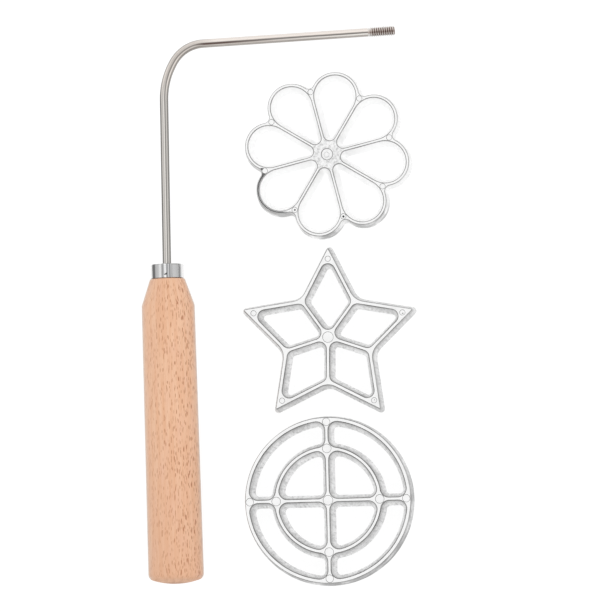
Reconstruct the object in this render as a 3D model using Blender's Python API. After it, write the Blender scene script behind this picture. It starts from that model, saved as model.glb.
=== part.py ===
"""Rosette iron: a turned handle with a bent, threaded rod, and three cast moulds that screw onto it.

The set lies flat, as it is laid out for use: the handle assembly on the left with its rod's arm
across the top, and the flower, the star and the ring mould in a column under the arm.
The table is z = 0 and +Z points up from it. The origin is the middle of the set's footprint.
All lengths are in metres and all angles in degrees.
"""

from math import acos, asin, atan, atan2, ceil, cos, degrees, pi, radians, sin, sqrt, tan

import bmesh
import bpy
from mathutils import Matrix, Vector

# Rod
ROD_DIAMETER = 0.0041
ROD_TANG_LENGTH = 0.032
ROD_STRAIGHT_LENGTH = 0.08035
ROD_LEAN = 0.7
BEND_WIDE_RADIUS = 0.0365
BEND_WIDE_ANGLE = 30.9
BEND_TIGHT_RADIUS = 0.0176
BEND_TIGHT_ANGLE = 56.13
ARM_LENGTH = 0.0940
ROD_END_CHAMFER = 0.0004

# Rolled thread at the end of the arm
THREAD_DIAMETER = 0.00476
THREAD_ROOT_DIAMETER = 0.0038
THREAD_PITCH = 0.001058
THREAD_LENGTH = 0.0133
THREAD_RUN_OUT = 0.0016
THREAD_TIP_CHAMFER = 0.0006

# Ferrule, a drawn cup over the handle's spigot
FERRULE_DIAMETER = 0.0162
FERRULE_HEIGHT = 0.0069
FERRULE_WALL = 0.0007
FERRULE_EDGE_RADIUS = 0.0010
FERRULE_LIP_WIDTH = 0.0006
FERRULE_LIP_HEIGHT = 0.0004
CRIMP_WIDTH = 0.0028
CRIMP_LENGTH = 0.0058
CRIMP_DEPTH = 0.0003
CRIMP_TURN = 7.5

# Handle
HANDLE_NECK_DIAMETER = 0.0170
HANDLE_SHOULDER_DIAMETER = 0.0258
HANDLE_END_DIAMETER = 0.0270
HANDLE_CONE_LENGTH = 0.0129
HANDLE_BARREL_LENGTH = 0.1358
HANDLE_NECK_ROUND = 0.0004
HANDLE_END_ROUND = 0.0032
HANDLE_DOME_RADIUS = 0.036
HANDLE_LEAN = 1.77

# Where the points of the handle's dome and of its rounded edge sit along their arcs
DOME_STEP_SHARES = (0.06, 0.4, 0.75, 1.0)
END_ROUND_STEP_SHARES = (0.25, 0.5, 0.75, 1.0)

# Moulds, shared
MOULD_HEIGHT = 0.014
MARK_DEPTH = 0.00025
TAPPED_DEPTH = 0.0060
DRILL_POINT_ANGLE = 118.0
DRILL_WEB_DIAMETER = 0.0003

# Flower mould, at its narrow face
PETAL_COUNT = 8
FLOWER_RADIUS = 0.04025
FLOWER_WALL = 0.00135
FLOWER_WINDOW_RADIUS = 0.0103
FLOWER_HUB_RADIUS = 0.0067
FLOWER_CORNER_RADIUS = 0.00315
FLOWER_NOTCH_RADIUS = 0.0029
FLOWER_OUTER_DRAFT = 0.0010
FLOWER_WINDOW_DRAFT = 0.0024
FLOWER_TURN = -7.7
FLOWER_CENTRE_MARK_DIAMETER = 0.0056
FLOWER_INNER_MARK_DIAMETER = 0.0024

# Star mould, at its narrow face
STAR_POINT_COUNT = 5
STAR_EDGE_DISTANCE = 0.01995
STAR_POINT_ANGLE = 54.6
STAR_POINT_RADIUS = 0.0004
STAR_NOTCH_RADIUS = 0.0083
STAR_WALL = 0.00165
STAR_RIB = 0.00155
STAR_CORNER_RADIUS = 0.0035
STAR_OUTER_DRAFT = 0.0015
STAR_WINDOW_DRAFT = 0.00205
STAR_TURN = 0.13
STAR_CENTRE_MARK_DIAMETER = 0.0053

# Ring mould, at its narrow face
RING_RADIUS = 0.0404
RING_WALL = 0.00175
RING_INNER_RADIUS = 0.02525
RING_RIB = 0.0016
RING_SPOKE = 0.00155
RING_CORNER_RADIUS = 0.0042
RING_OUTER_DRAFT = 0.0010
RING_WINDOW_DRAFT = 0.0022
RING_TURN = 1.33

# Part of the space between the two rings that a window's corner may take at most
RING_CORNER_LIMIT_SHARE = 0.45

# Parts of the room that a junction of ribs leaves for its ejector pin mark
JUNCTION_MARK_SHARE = 0.85
PETAL_MARK_SHARE = 0.80
STAR_MARK_SHARE = 0.56

# Distances between the pieces as they lie, each at the moulds' wide faces
COLUMN_GAP = 0.0182
ARM_GAP = 0.0156
FLOWER_STAR_GAP = 0.00345
STAR_RING_GAP = 0.00205

# How far the flower lies out of line with the other two, towards the handle
FLOWER_ASIDE = 0.00047

# Clearances, and how far a cutter runs past the face that it opens
GAP = 0.0003
THREAD_CLEARANCE = 0.00015
OVERRUN = 0.0005

# Fineness of the facets
ROUND_SEGMENTS = 48
ROD_SEGMENTS = 24
TAPPED_SEGMENTS = 16
MARK_SEGMENTS = 16
RINGS_PER_PITCH = 6
TAPPED_RINGS_PER_PITCH = 4
FACET_DEPTH = 0.00005
BEND_STEP = 6.0
SHARP_ANGLE = 35.0

# Worked out from the sizes above
ROD_RADIUS = ROD_DIAMETER / 2
THREAD_RADIUS = THREAD_DIAMETER / 2
THREAD_ROOT_RADIUS = THREAD_ROOT_DIAMETER / 2
FERRULE_RADIUS = FERRULE_DIAMETER / 2
FERRULE_BORE_RADIUS = FERRULE_RADIUS - FERRULE_WALL
SPIGOT_RADIUS = FERRULE_BORE_RADIUS - GAP
HANDLE_TAPER = degrees(atan((HANDLE_END_DIAMETER - HANDLE_SHOULDER_DIAMETER) / 2 / HANDLE_BARREL_LENGTH))
HANDLE_TOP = -FERRULE_HEIGHT - GAP
HANDLE_SHOULDER = HANDLE_TOP - HANDLE_CONE_LENGTH
HANDLE_BOTTOM = HANDLE_SHOULDER - HANDLE_BARREL_LENGTH
PETAL_ANGLE = 360.0 / PETAL_COUNT
STAR_ANGLE = 360.0 / STAR_POINT_COUNT


# General shapes

def polar(radius, angle):
    """The point at a distance from the origin, in a direction given in degrees."""
    return Vector((radius * cos(radians(angle)), radius * sin(radians(angle))))


def new_object(name, mesh_data, parent=None):
    """Links a mesh to the scene as an object, shaded smooth with its real edges left sharp."""
    mesh_data.shade_smooth()
    mesh_data.set_sharp_from_angle(angle=radians(SHARP_ANGLE))
    piece = bpy.data.objects.new(name, mesh_data)
    bpy.context.scene.collection.objects.link(piece)
    piece.parent = parent
    return piece


def stacked_loops(mesh, loops):
    """Adds the closed skin over a pile of loops of as many points each, with flat ends."""
    rows = [[mesh.verts.new(point) for point in loop] for loop in loops]
    count = len(rows[0])
    for lower, upper in zip(rows, rows[1:]):
        for i in range(count):
            j = (i + 1) % count
            mesh.faces.new((lower[i], lower[j], upper[j], upper[i]))
    mesh.faces.new(tuple(reversed(rows[0])))
    mesh.faces.new(tuple(rows[-1]))


def mesh_of(name, *piles):
    """One mesh that holds a closed skin for each pile of loops."""
    mesh = bmesh.new()
    for loops in piles:
        stacked_loops(mesh, loops)
    data = bpy.data.meshes.new(name)
    mesh.to_mesh(data)
    mesh.free()
    return data


def circle(radius, height, segments):
    """A level circle of points about the Z axis."""
    return [Vector((*polar(radius, 360.0 * i / segments), height)) for i in range(segments)]


def turned_mesh(name, profile, segments):
    """A solid of revolution about Z: (radius, height) points from the bottom to the top."""
    return mesh_of(name, [circle(radius, height, segments) for radius, height in profile])


def turned_ring_mesh(name, profile, segments):
    """A ring of revolution about Z, whose (radius, height) outline runs anticlockwise."""
    mesh = bmesh.new()
    rows = []
    for radius, height in profile:
        rows.append([mesh.verts.new(point) for point in circle(radius, height, segments)])
    for lower, upper in zip(rows, rows[1:] + rows[:1]):
        for i in range(segments):
            j = (i + 1) % segments
            mesh.faces.new((lower[i], lower[j], upper[j], upper[i]))
    data = bpy.data.meshes.new(name)
    mesh.to_mesh(data)
    mesh.free()
    return data


def cut(piece, cutter):
    """Takes a cutter's shape out of a piece."""
    cutter.hide_render = True
    cutter.display_type = "WIRE"
    step = piece.modifiers.new(cutter.name, "BOOLEAN")
    step.operation = "DIFFERENCE"
    step.solver = "EXACT"
    step.object = cutter


def finish(piece, colour, metallic, roughness):
    """Gives a piece its own plain material."""
    surface = bpy.data.materials.new(piece.name)
    surface.use_nodes = True
    shader = surface.node_tree.nodes["Principled BSDF"]
    shader.inputs["Base Color"].default_value = (*colour, 1.0)
    shader.inputs["Metallic"].default_value = metallic
    shader.inputs["Roughness"].default_value = roughness
    surface.diffuse_color = (*colour, 1.0)
    piece.data.materials.append(surface)


# Outlines made of arcs. An arc is (centre, radius, first angle, last angle); it bulges outwards
# where its angles rise, and inwards where they fall. Straight runs join one arc to the next.

def facet_angle(radius):
    """The angle of a facet that stands off an arc of this radius by the facet depth."""
    return 2 * degrees(acos(1 - FACET_DEPTH / radius))


def outline_points(arcs, growth):
    """The points of an outline that has grown by a distance on all sides, each point once."""
    points = []
    for centre, radius, first, last in arcs:
        sweep = last - first
        grown = radius + growth if sweep > 0 else radius - growth
        steps = max(2, ceil(abs(sweep) / facet_angle(radius)))
        for i in range(steps + 1):
            point = centre + polar(grown, first + sweep * i / steps)
            if not points or (point - points[-1]).length > FACET_DEPTH:
                points.append(point)
    if (points[-1] - points[0]).length < FACET_DEPTH:
        points.pop()
    return points


def drafted_loops(arcs, draft, low, high, sense):
    """Two loops of an outline whose walls lean by the draft over the mould's height.

    The outline is as given at the narrow face. Towards the wide face, at z = 0, the outer
    walls grow with sense +1, and the windows shrink with sense -1.
    """
    loops = []
    for height in (low, high):
        growth = sense * draft * (1 - height / MOULD_HEIGHT)
        loops.append([Vector((*point, height)) for point in outline_points(arcs, growth)])
    return loops


def full_circle(radius):
    """A circle about the origin, as one arc that stops a facet short of its start."""
    facets = ceil(360.0 / facet_angle(radius))
    return [(Vector((0, 0)), radius, 0.0, 360.0 - 360.0 / facets)]


# Thread

def ridge_radius(distance, angle):
    """Radius of the rolled thread at a distance along it: a right-hand helix of smooth ridges."""
    middle = (THREAD_RADIUS + THREAD_ROOT_RADIUS) / 2
    swing = (THREAD_RADIUS - THREAD_ROOT_RADIUS) / 2
    return middle + swing * cos(2 * pi * (distance / THREAD_PITCH - angle / 360.0))


def rod_thread_radius(distance, angle):
    """Radius along the rod's thread, from its run-out to the chamfered tip."""
    started = min(1.0, distance / THREAD_RUN_OUT)
    full = ROD_RADIUS + (ridge_radius(distance, angle) - ROD_RADIUS) * started
    tip_limit = THREAD_RADIUS - THREAD_TIP_CHAMFER + (THREAD_LENGTH - distance)
    return min(full, tip_limit)


def tapped_hole_loops():
    """The space of a mould's tapped hole, entered from the wide face at z = 0."""
    count = ceil(TAPPED_DEPTH / THREAD_PITCH * TAPPED_RINGS_PER_PITCH)
    loops = []
    for height in [-OVERRUN] + [TAPPED_DEPTH * i / count for i in range(count + 1)]:
        loop = []
        for i in range(TAPPED_SEGMENTS):
            angle = 360.0 * i / TAPPED_SEGMENTS
            radius = ridge_radius(height, angle) + THREAD_CLEARANCE
            loop.append(Vector((*polar(radius, angle), height)))
        loops.append(loop)
    point_depth = (THREAD_ROOT_RADIUS - DRILL_WEB_DIAMETER / 2) / tan(radians(DRILL_POINT_ANGLE / 2))
    loops.append(circle(DRILL_WEB_DIAMETER / 2, TAPPED_DEPTH + point_depth, TAPPED_SEGMENTS))
    return loops


# Handle assembly. Its own frame has +Z up the handle's axis from the ferrule's top, and +X
# on the side that the arm points to.

def rod_headings():
    """Headings of the rod's straight stretch and of its arm, in degrees from +X towards +Z."""
    straight = 90.0 - ROD_LEAN
    return straight, straight - BEND_WIDE_ANGLE - BEND_TIGHT_ANGLE


def rod_line():
    """Centre points and headings of the rod, from the tang's end to the start of the thread."""
    heading, arm_heading = rod_headings()
    stations = [(polar(-ROD_TANG_LENGTH, heading), heading), (polar(ROD_STRAIGHT_LENGTH, heading), heading)]
    for radius, angle in ((BEND_WIDE_RADIUS, BEND_WIDE_ANGLE), (BEND_TIGHT_RADIUS, BEND_TIGHT_ANGLE)):
        start, turn_from = stations[-1]
        centre = start + polar(radius, turn_from - 90.0)
        steps = ceil(angle / BEND_STEP)
        for i in range(1, steps + 1):
            turned = turn_from - angle * i / steps
            stations.append((centre + polar(radius, turned + 90.0), turned))
    stations.append((stations[-1][0] + polar(ARM_LENGTH - THREAD_LENGTH, arm_heading), arm_heading))
    return stations


def arm_point(distance):
    """The arm's centre, at a distance past the start of its thread, in the assembly's frame."""
    thread_start, heading = rod_line()[-1]
    point = thread_start + polar(distance, heading)
    return Vector((point.x, 0, point.y))


def rod_ring(point, heading, radius_at):
    """A ring of points square to the rod."""
    along = polar(1, heading)
    across = Vector((along.y, 0, -along.x))
    side = Vector((0, 1, 0))
    centre = Vector((point.x, 0, point.y))
    ring = []
    for i in range(ROD_SEGMENTS):
        angle = 360.0 * i / ROD_SEGMENTS
        direction = across * cos(radians(angle)) + side * sin(radians(angle))
        ring.append(centre + direction * radius_at(angle))
    return ring


def make_rod(assembly):
    """The bent rod: tang, straight stretch, bend, arm and rolled thread in one piece."""
    stations = rod_line()
    tang_end, heading = stations[0]
    rings = [rod_ring(tang_end, heading, lambda angle: ROD_RADIUS - ROD_END_CHAMFER)]
    stations[0] = (tang_end + polar(ROD_END_CHAMFER, heading), heading)
    rings += [rod_ring(point, turned, lambda angle: ROD_RADIUS) for point, turned in stations]
    thread_start, arm_heading = stations[-1]
    count = ceil(THREAD_LENGTH / THREAD_PITCH * RINGS_PER_PITCH)
    for i in range(1, count + 1):
        distance = THREAD_LENGTH * i / count
        point = thread_start + polar(distance, arm_heading)
        rings.append(rod_ring(point, arm_heading, lambda angle: rod_thread_radius(distance, angle)))
    rod = new_object("bent_rod", mesh_of("bent_rod", rings), assembly)
    finish(rod, (0.52, 0.49, 0.45), 1.0, 0.28)
    return rod


def make_ferrule(assembly):
    """The ferrule: a cup with a round shoulder, a lip round the rod and one crimp."""
    hole = ROD_RADIUS + GAP
    lip = hole + FERRULE_LIP_WIDTH
    edge = FERRULE_EDGE_RADIUS
    inner_edge = edge - FERRULE_WALL
    profile = [(FERRULE_BORE_RADIUS, -FERRULE_HEIGHT), (FERRULE_RADIUS, -FERRULE_HEIGHT)]
    for step in range(0, 4):
        corner = polar(edge, 90.0 * step / 3)
        profile.append((FERRULE_RADIUS - edge + corner.x, corner.y - edge))
    profile += [(lip, 0), (lip, FERRULE_LIP_HEIGHT / 2), (lip - FERRULE_LIP_WIDTH / 2, FERRULE_LIP_HEIGHT)]
    profile += [(hole, FERRULE_LIP_HEIGHT), (hole, -FERRULE_WALL)]
    profile += [(FERRULE_BORE_RADIUS - inner_edge, -FERRULE_WALL)]
    profile += [(FERRULE_BORE_RADIUS, -FERRULE_WALL - inner_edge)]
    ferrule = new_object("ferrule", turned_ring_mesh("ferrule", profile, ROUND_SEGMENTS), assembly)
    half = CRIMP_WIDTH / 2
    middle = -FERRULE_HEIGHT / 2
    reach = CRIMP_LENGTH / 2 - half
    arcs = [(Vector((0, reach)), half, 0.0, 180.0), (Vector((0, -reach)), half, 180.0, 360.0)]
    floor = FERRULE_RADIUS - CRIMP_DEPTH
    loops = []
    for depth in (floor, FERRULE_RADIUS + OVERRUN):
        loops.append([Vector((point.x, -depth, middle + point.y)) for point in outline_points(arcs, 0)])
    crimp = new_object("crimp_cutter", mesh_of("crimp_cutter", loops), assembly)
    crimp.rotation_euler = (0, 0, -radians(CRIMP_TURN))
    cut(ferrule, crimp)
    finish(ferrule, (0.62, 0.62, 0.64), 1.0, 0.10)
    return ferrule


def handle_profile():
    """The turned handle's outline, from the middle of its domed end up to its spigot."""
    end_radius = HANDLE_END_DIAMETER / 2
    dome_centre = HANDLE_BOTTOM + HANDLE_DOME_RADIUS
    spread = degrees(asin((end_radius - HANDLE_END_ROUND) / (HANDLE_DOME_RADIUS - HANDLE_END_ROUND)))
    round_centre = dome_centre - (HANDLE_DOME_RADIUS - HANDLE_END_ROUND) * cos(radians(spread))
    profile = []
    for share in DOME_STEP_SHARES:
        point = polar(HANDLE_DOME_RADIUS, spread * share - 90.0)
        profile.append((point.x, dome_centre + point.y))
    for share in END_ROUND_STEP_SHARES:
        point = polar(HANDLE_END_ROUND, spread - 90.0 + (90.0 - spread) * share)
        profile.append((end_radius - HANDLE_END_ROUND + point.x, round_centre + point.y))
    profile.append((HANDLE_SHOULDER_DIAMETER / 2, HANDLE_SHOULDER))
    profile.append((HANDLE_NECK_DIAMETER / 2, HANDLE_TOP - HANDLE_NECK_ROUND))
    profile.append((HANDLE_NECK_DIAMETER / 2 - HANDLE_NECK_ROUND, HANDLE_TOP))
    profile.append((SPIGOT_RADIUS, HANDLE_TOP))
    profile.append((SPIGOT_RADIUS, -FERRULE_WALL - GAP))
    return profile


def make_handle(assembly):
    """The turned wooden handle, bored along the rod's line for its tang."""
    handle = new_object("handle", turned_mesh("handle", handle_profile(), ROUND_SEGMENTS), assembly)
    bore = [circle(ROD_RADIUS + GAP, height, ROD_SEGMENTS) for height in (-ROD_TANG_LENGTH - GAP, OVERRUN)]
    drill = new_object("tang_bore_cutter", mesh_of("tang_bore_cutter", bore), assembly)
    drill.rotation_euler = (0, radians(ROD_LEAN), 0)
    cut(handle, drill)
    finish(handle, (0.86, 0.56, 0.34), 0.0, 0.55)
    return handle


def assembly_matrix():
    """How the assembly lies: on its tapered side, rolled until the thread's tip meets the table."""
    height = HANDLE_SHOULDER_DIAMETER / 2 + HANDLE_SHOULDER * tan(radians(HANDLE_TAPER))
    height *= cos(radians(HANDLE_TAPER))
    tip = arm_point(THREAD_LENGTH - THREAD_TIP_CHAMFER)
    drop = height - tip.z * sin(radians(HANDLE_TAPER)) - THREAD_RADIUS
    roll = asin(drop / tip.x / cos(radians(HANDLE_TAPER)))
    lying = Matrix.Rotation(radians(-90.0 - HANDLE_TAPER), 4, "X")
    lean = Matrix.Rotation(radians(HANDLE_LEAN), 4, "Z")
    return Matrix.Translation((0, 0, height)) @ lean @ lying @ Matrix.Rotation(roll, 4, "Z")


# Flower mould

def flower_outline():
    """Outer outline: round petals with filleted notches between them."""
    petal_radius = FLOWER_WINDOW_RADIUS + FLOWER_WALL
    reach = FLOWER_RADIUS - petal_radius
    notch = notch_centre_distance()
    to_notch = polar(notch, PETAL_ANGLE / 2) - Vector((reach, 0))
    side = degrees(atan2(to_notch.y, to_notch.x))
    arcs = []
    for k in range(PETAL_COUNT):
        axis = 90.0 + FLOWER_TURN + PETAL_ANGLE * k
        arcs.append((polar(reach, axis), petal_radius, axis - side, axis + side))
        notch_axis = axis + PETAL_ANGLE / 2
        arcs.append((polar(notch, notch_axis), FLOWER_NOTCH_RADIUS, axis + side + 180.0,
                     axis + PETAL_ANGLE - side + 180.0))
    return arcs


def notch_centre_distance():
    """Distance from the flower's centre to the centre of a notch's fillet."""
    petal_radius = FLOWER_WINDOW_RADIUS + FLOWER_WALL
    reach = FLOWER_RADIUS - petal_radius
    aside = reach * sin(radians(PETAL_ANGLE / 2))
    return reach * cos(radians(PETAL_ANGLE / 2)) + sqrt((petal_radius + FLOWER_NOTCH_RADIUS) ** 2 - aside ** 2)


def flower_window(axis):
    """A petal's window: a large round end, a small one near the hub, and straight sides."""
    far_reach = FLOWER_RADIUS - FLOWER_WALL - FLOWER_WINDOW_RADIUS
    near_reach = FLOWER_HUB_RADIUS + FLOWER_CORNER_RADIUS
    slope = degrees(asin((FLOWER_WINDOW_RADIUS - FLOWER_CORNER_RADIUS) / (far_reach - near_reach)))
    return [
        (polar(far_reach, axis), FLOWER_WINDOW_RADIUS, axis - 90.0 - slope, axis + 90.0 + slope),
        (polar(near_reach, axis), FLOWER_CORNER_RADIUS, axis + 90.0 + slope, axis + 270.0 - slope),
    ]


def petal_mark():
    """Place and room of a mark between two petals: the circle that just fits the junction."""
    window_reach = FLOWER_RADIUS - FLOWER_WALL - FLOWER_WINDOW_RADIUS
    notch_floor = notch_centre_distance() - FLOWER_NOTCH_RADIUS
    span = FLOWER_WINDOW_RADIUS + notch_floor
    distance = (span ** 2 - window_reach ** 2) / 2 / (span - window_reach * cos(radians(PETAL_ANGLE / 2)))
    return distance, notch_floor - distance


def make_flower():
    """The flower mould, with a mark at each notch and a ringed one on its hub."""
    axes = [90.0 + FLOWER_TURN + PETAL_ANGLE * k for k in range(PETAL_COUNT)]
    distance, room = petal_mark()
    marks = [(polar(distance, axis + PETAL_ANGLE / 2), room * PETAL_MARK_SHARE) for axis in axes]
    windows = [flower_window(axis) for axis in axes]
    drafts = (FLOWER_OUTER_DRAFT, FLOWER_WINDOW_DRAFT)
    flower = make_mould("flower_mould", flower_outline(), windows, marks, drafts)
    centre_mark = ring_mark_mesh("flower_centre_mark_cutter", FLOWER_CENTRE_MARK_DIAMETER / 2,
                                 FLOWER_INNER_MARK_DIAMETER / 2)
    cut(flower, new_object("flower_centre_mark_cutter", centre_mark, flower))
    return flower


def ring_mark_mesh(name, outer, inner):
    """A shallow ring-shaped cutter in the narrow face, which leaves the face whole in its middle."""
    low = MOULD_HEIGHT - MARK_DEPTH
    high = MOULD_HEIGHT + OVERRUN
    profile = [(inner, low), (outer, low), (outer, high), (inner, high)]
    return turned_ring_mesh(name, profile, 2 * MARK_SEGMENTS)


# Star mould

def corner_centre(first, first_distance, second, second_distance):
    """The point at the given distances along two directions, which fixes a rounded corner's centre."""
    across = sin(radians(second - first))
    x = (first_distance * sin(radians(second)) - second_distance * sin(radians(first))) / across
    y = (second_distance * cos(radians(first)) - first_distance * cos(radians(second))) / across
    return Vector((x, y))


def star_outline():
    """Outer outline: slightly rounded points, straight sides and filleted notches."""
    half = STAR_POINT_ANGLE / 2
    arcs = []
    for k in range(STAR_POINT_COUNT):
        axis = 90.0 + STAR_TURN + STAR_ANGLE * k
        side = 90.0 - half
        point_reach = (STAR_EDGE_DISTANCE - STAR_POINT_RADIUS) / sin(radians(half))
        arcs.append((polar(point_reach, axis), STAR_POINT_RADIUS, axis - side, axis + side))
        notch_reach = (STAR_EDGE_DISTANCE + STAR_NOTCH_RADIUS) / cos(radians(side - STAR_ANGLE / 2))
        arcs.append((polar(notch_reach, axis + STAR_ANGLE / 2), STAR_NOTCH_RADIUS, axis + side + 180.0,
                     axis + STAR_ANGLE - side + 180.0))
    return arcs


def star_window(axis):
    """A kite-shaped window with rounded corners."""
    half = STAR_POINT_ANGLE / 2
    side = 90.0 - half
    rib_side = STAR_ANGLE / 2 + 90.0
    outer = STAR_EDGE_DISTANCE - STAR_WALL - STAR_CORNER_RADIUS
    inner = -STAR_RIB / 2 - STAR_CORNER_RADIUS
    left = corner_centre(axis + side, outer, axis + rib_side, inner)
    right = corner_centre(axis - side, outer, axis - rib_side, inner)
    hub = corner_centre(axis + rib_side, inner, axis - rib_side, inner)
    return [
        (polar(outer / sin(radians(half)), axis), STAR_CORNER_RADIUS, axis - side, axis + side),
        (left, STAR_CORNER_RADIUS, axis + side, axis + rib_side),
        (hub, STAR_CORNER_RADIUS, axis + rib_side, axis + 360.0 - rib_side),
        (right, STAR_CORNER_RADIUS, axis + 360.0 - rib_side, axis + 360.0 - side),
    ]


def star_mark():
    """Place and room of the mark in a point: the circle between its window and its two sides."""
    slope = sin(radians(STAR_POINT_ANGLE / 2))
    window_tip = (STAR_EDGE_DISTANCE - STAR_WALL - STAR_CORNER_RADIUS) / slope + STAR_CORNER_RADIUS
    distance = (STAR_EDGE_DISTANCE + window_tip) / (1 + slope)
    return distance, distance - window_tip


def make_star():
    """The star mould, with a mark in each point and one on its hub."""
    axes = [90.0 + STAR_TURN + STAR_ANGLE * k for k in range(STAR_POINT_COUNT)]
    distance, room = star_mark()
    marks = [(polar(distance, axis), room * STAR_MARK_SHARE) for axis in axes]
    marks.append((Vector((0, 0)), STAR_CENTRE_MARK_DIAMETER / 2))
    windows = [star_window(axis) for axis in axes]
    return make_mould("star_mould", star_outline(), windows, marks, (STAR_OUTER_DRAFT, STAR_WINDOW_DRAFT))


# Ring mould

def ring_corner_radius():
    """Radius of the ring windows' corners, limited by the space between the two rings."""
    space = RING_RADIUS - RING_WALL - RING_INNER_RADIUS - RING_RIB / 2
    return min(RING_CORNER_RADIUS, space * RING_CORNER_LIMIT_SHARE)


def ring_window_corner(circle_radius, sense):
    """Distance along a spoke of the corner that a window has at a circle, inside it or outside it."""
    corner = ring_corner_radius()
    return sqrt((circle_radius - sense * corner) ** 2 - (RING_SPOKE / 2 + corner) ** 2)


def ring_inner_window(axis):
    """A quarter window inside the inner ring, between two spokes."""
    corner = ring_corner_radius()
    aside = RING_SPOKE / 2 + corner
    limit = RING_INNER_RADIUS - RING_RIB / 2
    reach = ring_window_corner(limit, 1)
    skew = degrees(atan2(aside, reach))
    turn = Matrix.Rotation(radians(axis), 2)
    return [
        (turn @ Vector((reach, aside)), corner, axis - 90.0, axis + skew),
        (Vector((0, 0)), limit, axis + skew, axis + 90.0 - skew),
        (turn @ Vector((aside, reach)), corner, axis + 90.0 - skew, axis + 180.0),
        (turn @ Vector((aside, aside)), corner, axis + 180.0, axis + 270.0),
    ]


def ring_outer_window(axis):
    """A quarter window between the inner and the outer ring."""
    corner = ring_corner_radius()
    aside = RING_SPOKE / 2 + corner
    limit = RING_RADIUS - RING_WALL
    floor = RING_INNER_RADIUS + RING_RIB / 2
    reach = ring_window_corner(limit, 1)
    low_reach = ring_window_corner(floor, -1)
    skew = degrees(atan2(aside, reach))
    low_skew = degrees(atan2(aside, low_reach))
    turn = Matrix.Rotation(radians(axis), 2)
    return [
        (turn @ Vector((reach, aside)), corner, axis - 90.0, axis + skew),
        (Vector((0, 0)), limit, axis + skew, axis + 90.0 - skew),
        (turn @ Vector((aside, reach)), corner, axis + 90.0 - skew, axis + 180.0),
        (turn @ Vector((aside, low_reach)), corner, axis + 180.0, axis + 270.0 - low_skew),
        (Vector((0, 0)), floor, axis + 90.0 - low_skew, axis + low_skew),
        (turn @ Vector((low_reach, aside)), corner, axis + 180.0 + low_skew, axis + 270.0),
    ]


def ring_marks():
    """Marks on the hub and where each spoke crosses the inner ring and meets the outer one."""
    corner = ring_corner_radius()
    aside = RING_SPOKE / 2 + corner
    hub_room = sqrt(2) * aside - corner
    low_reach = ring_window_corner(RING_INNER_RADIUS + RING_RIB / 2, -1)
    inner_room = sqrt((low_reach - RING_INNER_RADIUS) ** 2 + aside ** 2) - corner
    reach = ring_window_corner(RING_RADIUS - RING_WALL, 1)
    span = RING_RADIUS + corner
    outer_distance = (span ** 2 - reach ** 2 - aside ** 2) / 2 / (span - reach)
    marks = [(Vector((0, 0)), hub_room * JUNCTION_MARK_SHARE)]
    for k in range(4):
        spoke = RING_TURN + 90.0 * k
        marks.append((polar(RING_INNER_RADIUS, spoke), inner_room * JUNCTION_MARK_SHARE))
        marks.append((polar(outer_distance, spoke), (RING_RADIUS - outer_distance) * JUNCTION_MARK_SHARE))
    return marks


def make_ring():
    """The ring mould: two rings joined by a cross."""
    windows = []
    for k in range(4):
        windows.append(ring_inner_window(RING_TURN + 90.0 * k))
        windows.append(ring_outer_window(RING_TURN + 90.0 * k))
    drafts = (RING_OUTER_DRAFT, RING_WINDOW_DRAFT)
    return make_mould("ring_mould", full_circle(RING_RADIUS), windows, ring_marks(), drafts)


# What all moulds share

def make_mould(name, outline, windows, marks, drafts):
    """A cast mould on its wide face: drafted walls, through windows, pin marks and a tapped hub.

    The drafts are the outer wall's and the windows' walls'.
    """
    outer_draft, window_draft = drafts
    body = mesh_of(name, drafted_loops(outline, outer_draft, 0, MOULD_HEIGHT, 1))
    mould = new_object(name, body)
    piles = [drafted_loops(window, window_draft, -OVERRUN, MOULD_HEIGHT + OVERRUN, -1) for window in windows]
    cut(mould, new_object(name + "_window_cutter", mesh_of(name + "_window_cutter", *piles), mould))
    piles = []
    for centre, radius in marks:
        place = Vector((*centre, 0))
        heights = (MOULD_HEIGHT - MARK_DEPTH, MOULD_HEIGHT + OVERRUN)
        rows = [circle(radius, height, MARK_SEGMENTS) for height in heights]
        piles.append([[place + point for point in row] for row in rows])
    cut(mould, new_object(name + "_mark_cutter", mesh_of(name + "_mark_cutter", *piles), mould))
    tap = mesh_of(name + "_tap_cutter", tapped_hole_loops())
    cut(mould, new_object(name + "_tap_cutter", tap, mould))
    finish(mould, (0.80, 0.80, 0.82), 1.0, 0.38)
    return mould


# The set as it lies

def place_moulds(assembly, flower, star, ring):
    """Puts the moulds in a column right of the handle, under the rod's arm, by their gaps."""
    handle_end = assembly @ Vector((0, 0, HANDLE_BOTTOM + HANDLE_END_ROUND))
    flower_half = FLOWER_RADIUS + FLOWER_OUTER_DRAFT
    slope = sin(radians(STAR_POINT_ANGLE / 2))
    star_reach = (STAR_EDGE_DISTANCE - STAR_POINT_RADIUS) / slope + STAR_POINT_RADIUS + STAR_OUTER_DRAFT
    ring_half = RING_RADIUS + RING_OUTER_DRAFT
    star_half = star_reach * cos(radians(STAR_ANGLE / 4))
    widest = max(flower_half, star_half, ring_half)
    column = handle_end.x + HANDLE_END_DIAMETER / 2 + COLUMN_GAP + widest
    bend_end = assembly @ arm_point(THREAD_LENGTH - ARM_LENGTH)
    tip = assembly @ arm_point(THREAD_LENGTH)
    along = (column - bend_end.x) / (tip.x - bend_end.x)
    arm_side = bend_end.y + (tip.y - bend_end.y) * along - ROD_RADIUS
    flower.location = (column - FLOWER_ASIDE, arm_side - ARM_GAP - flower_half, 0)
    star_top = flower.location.y - flower_half - FLOWER_STAR_GAP
    star.location = (column, star_top - star_reach, 0)
    star_bottom = star.location.y - star_reach * cos(radians(STAR_ANGLE / 2))
    ring.location = (column, star_bottom - STAR_RING_GAP - ring_half, 0)


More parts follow.
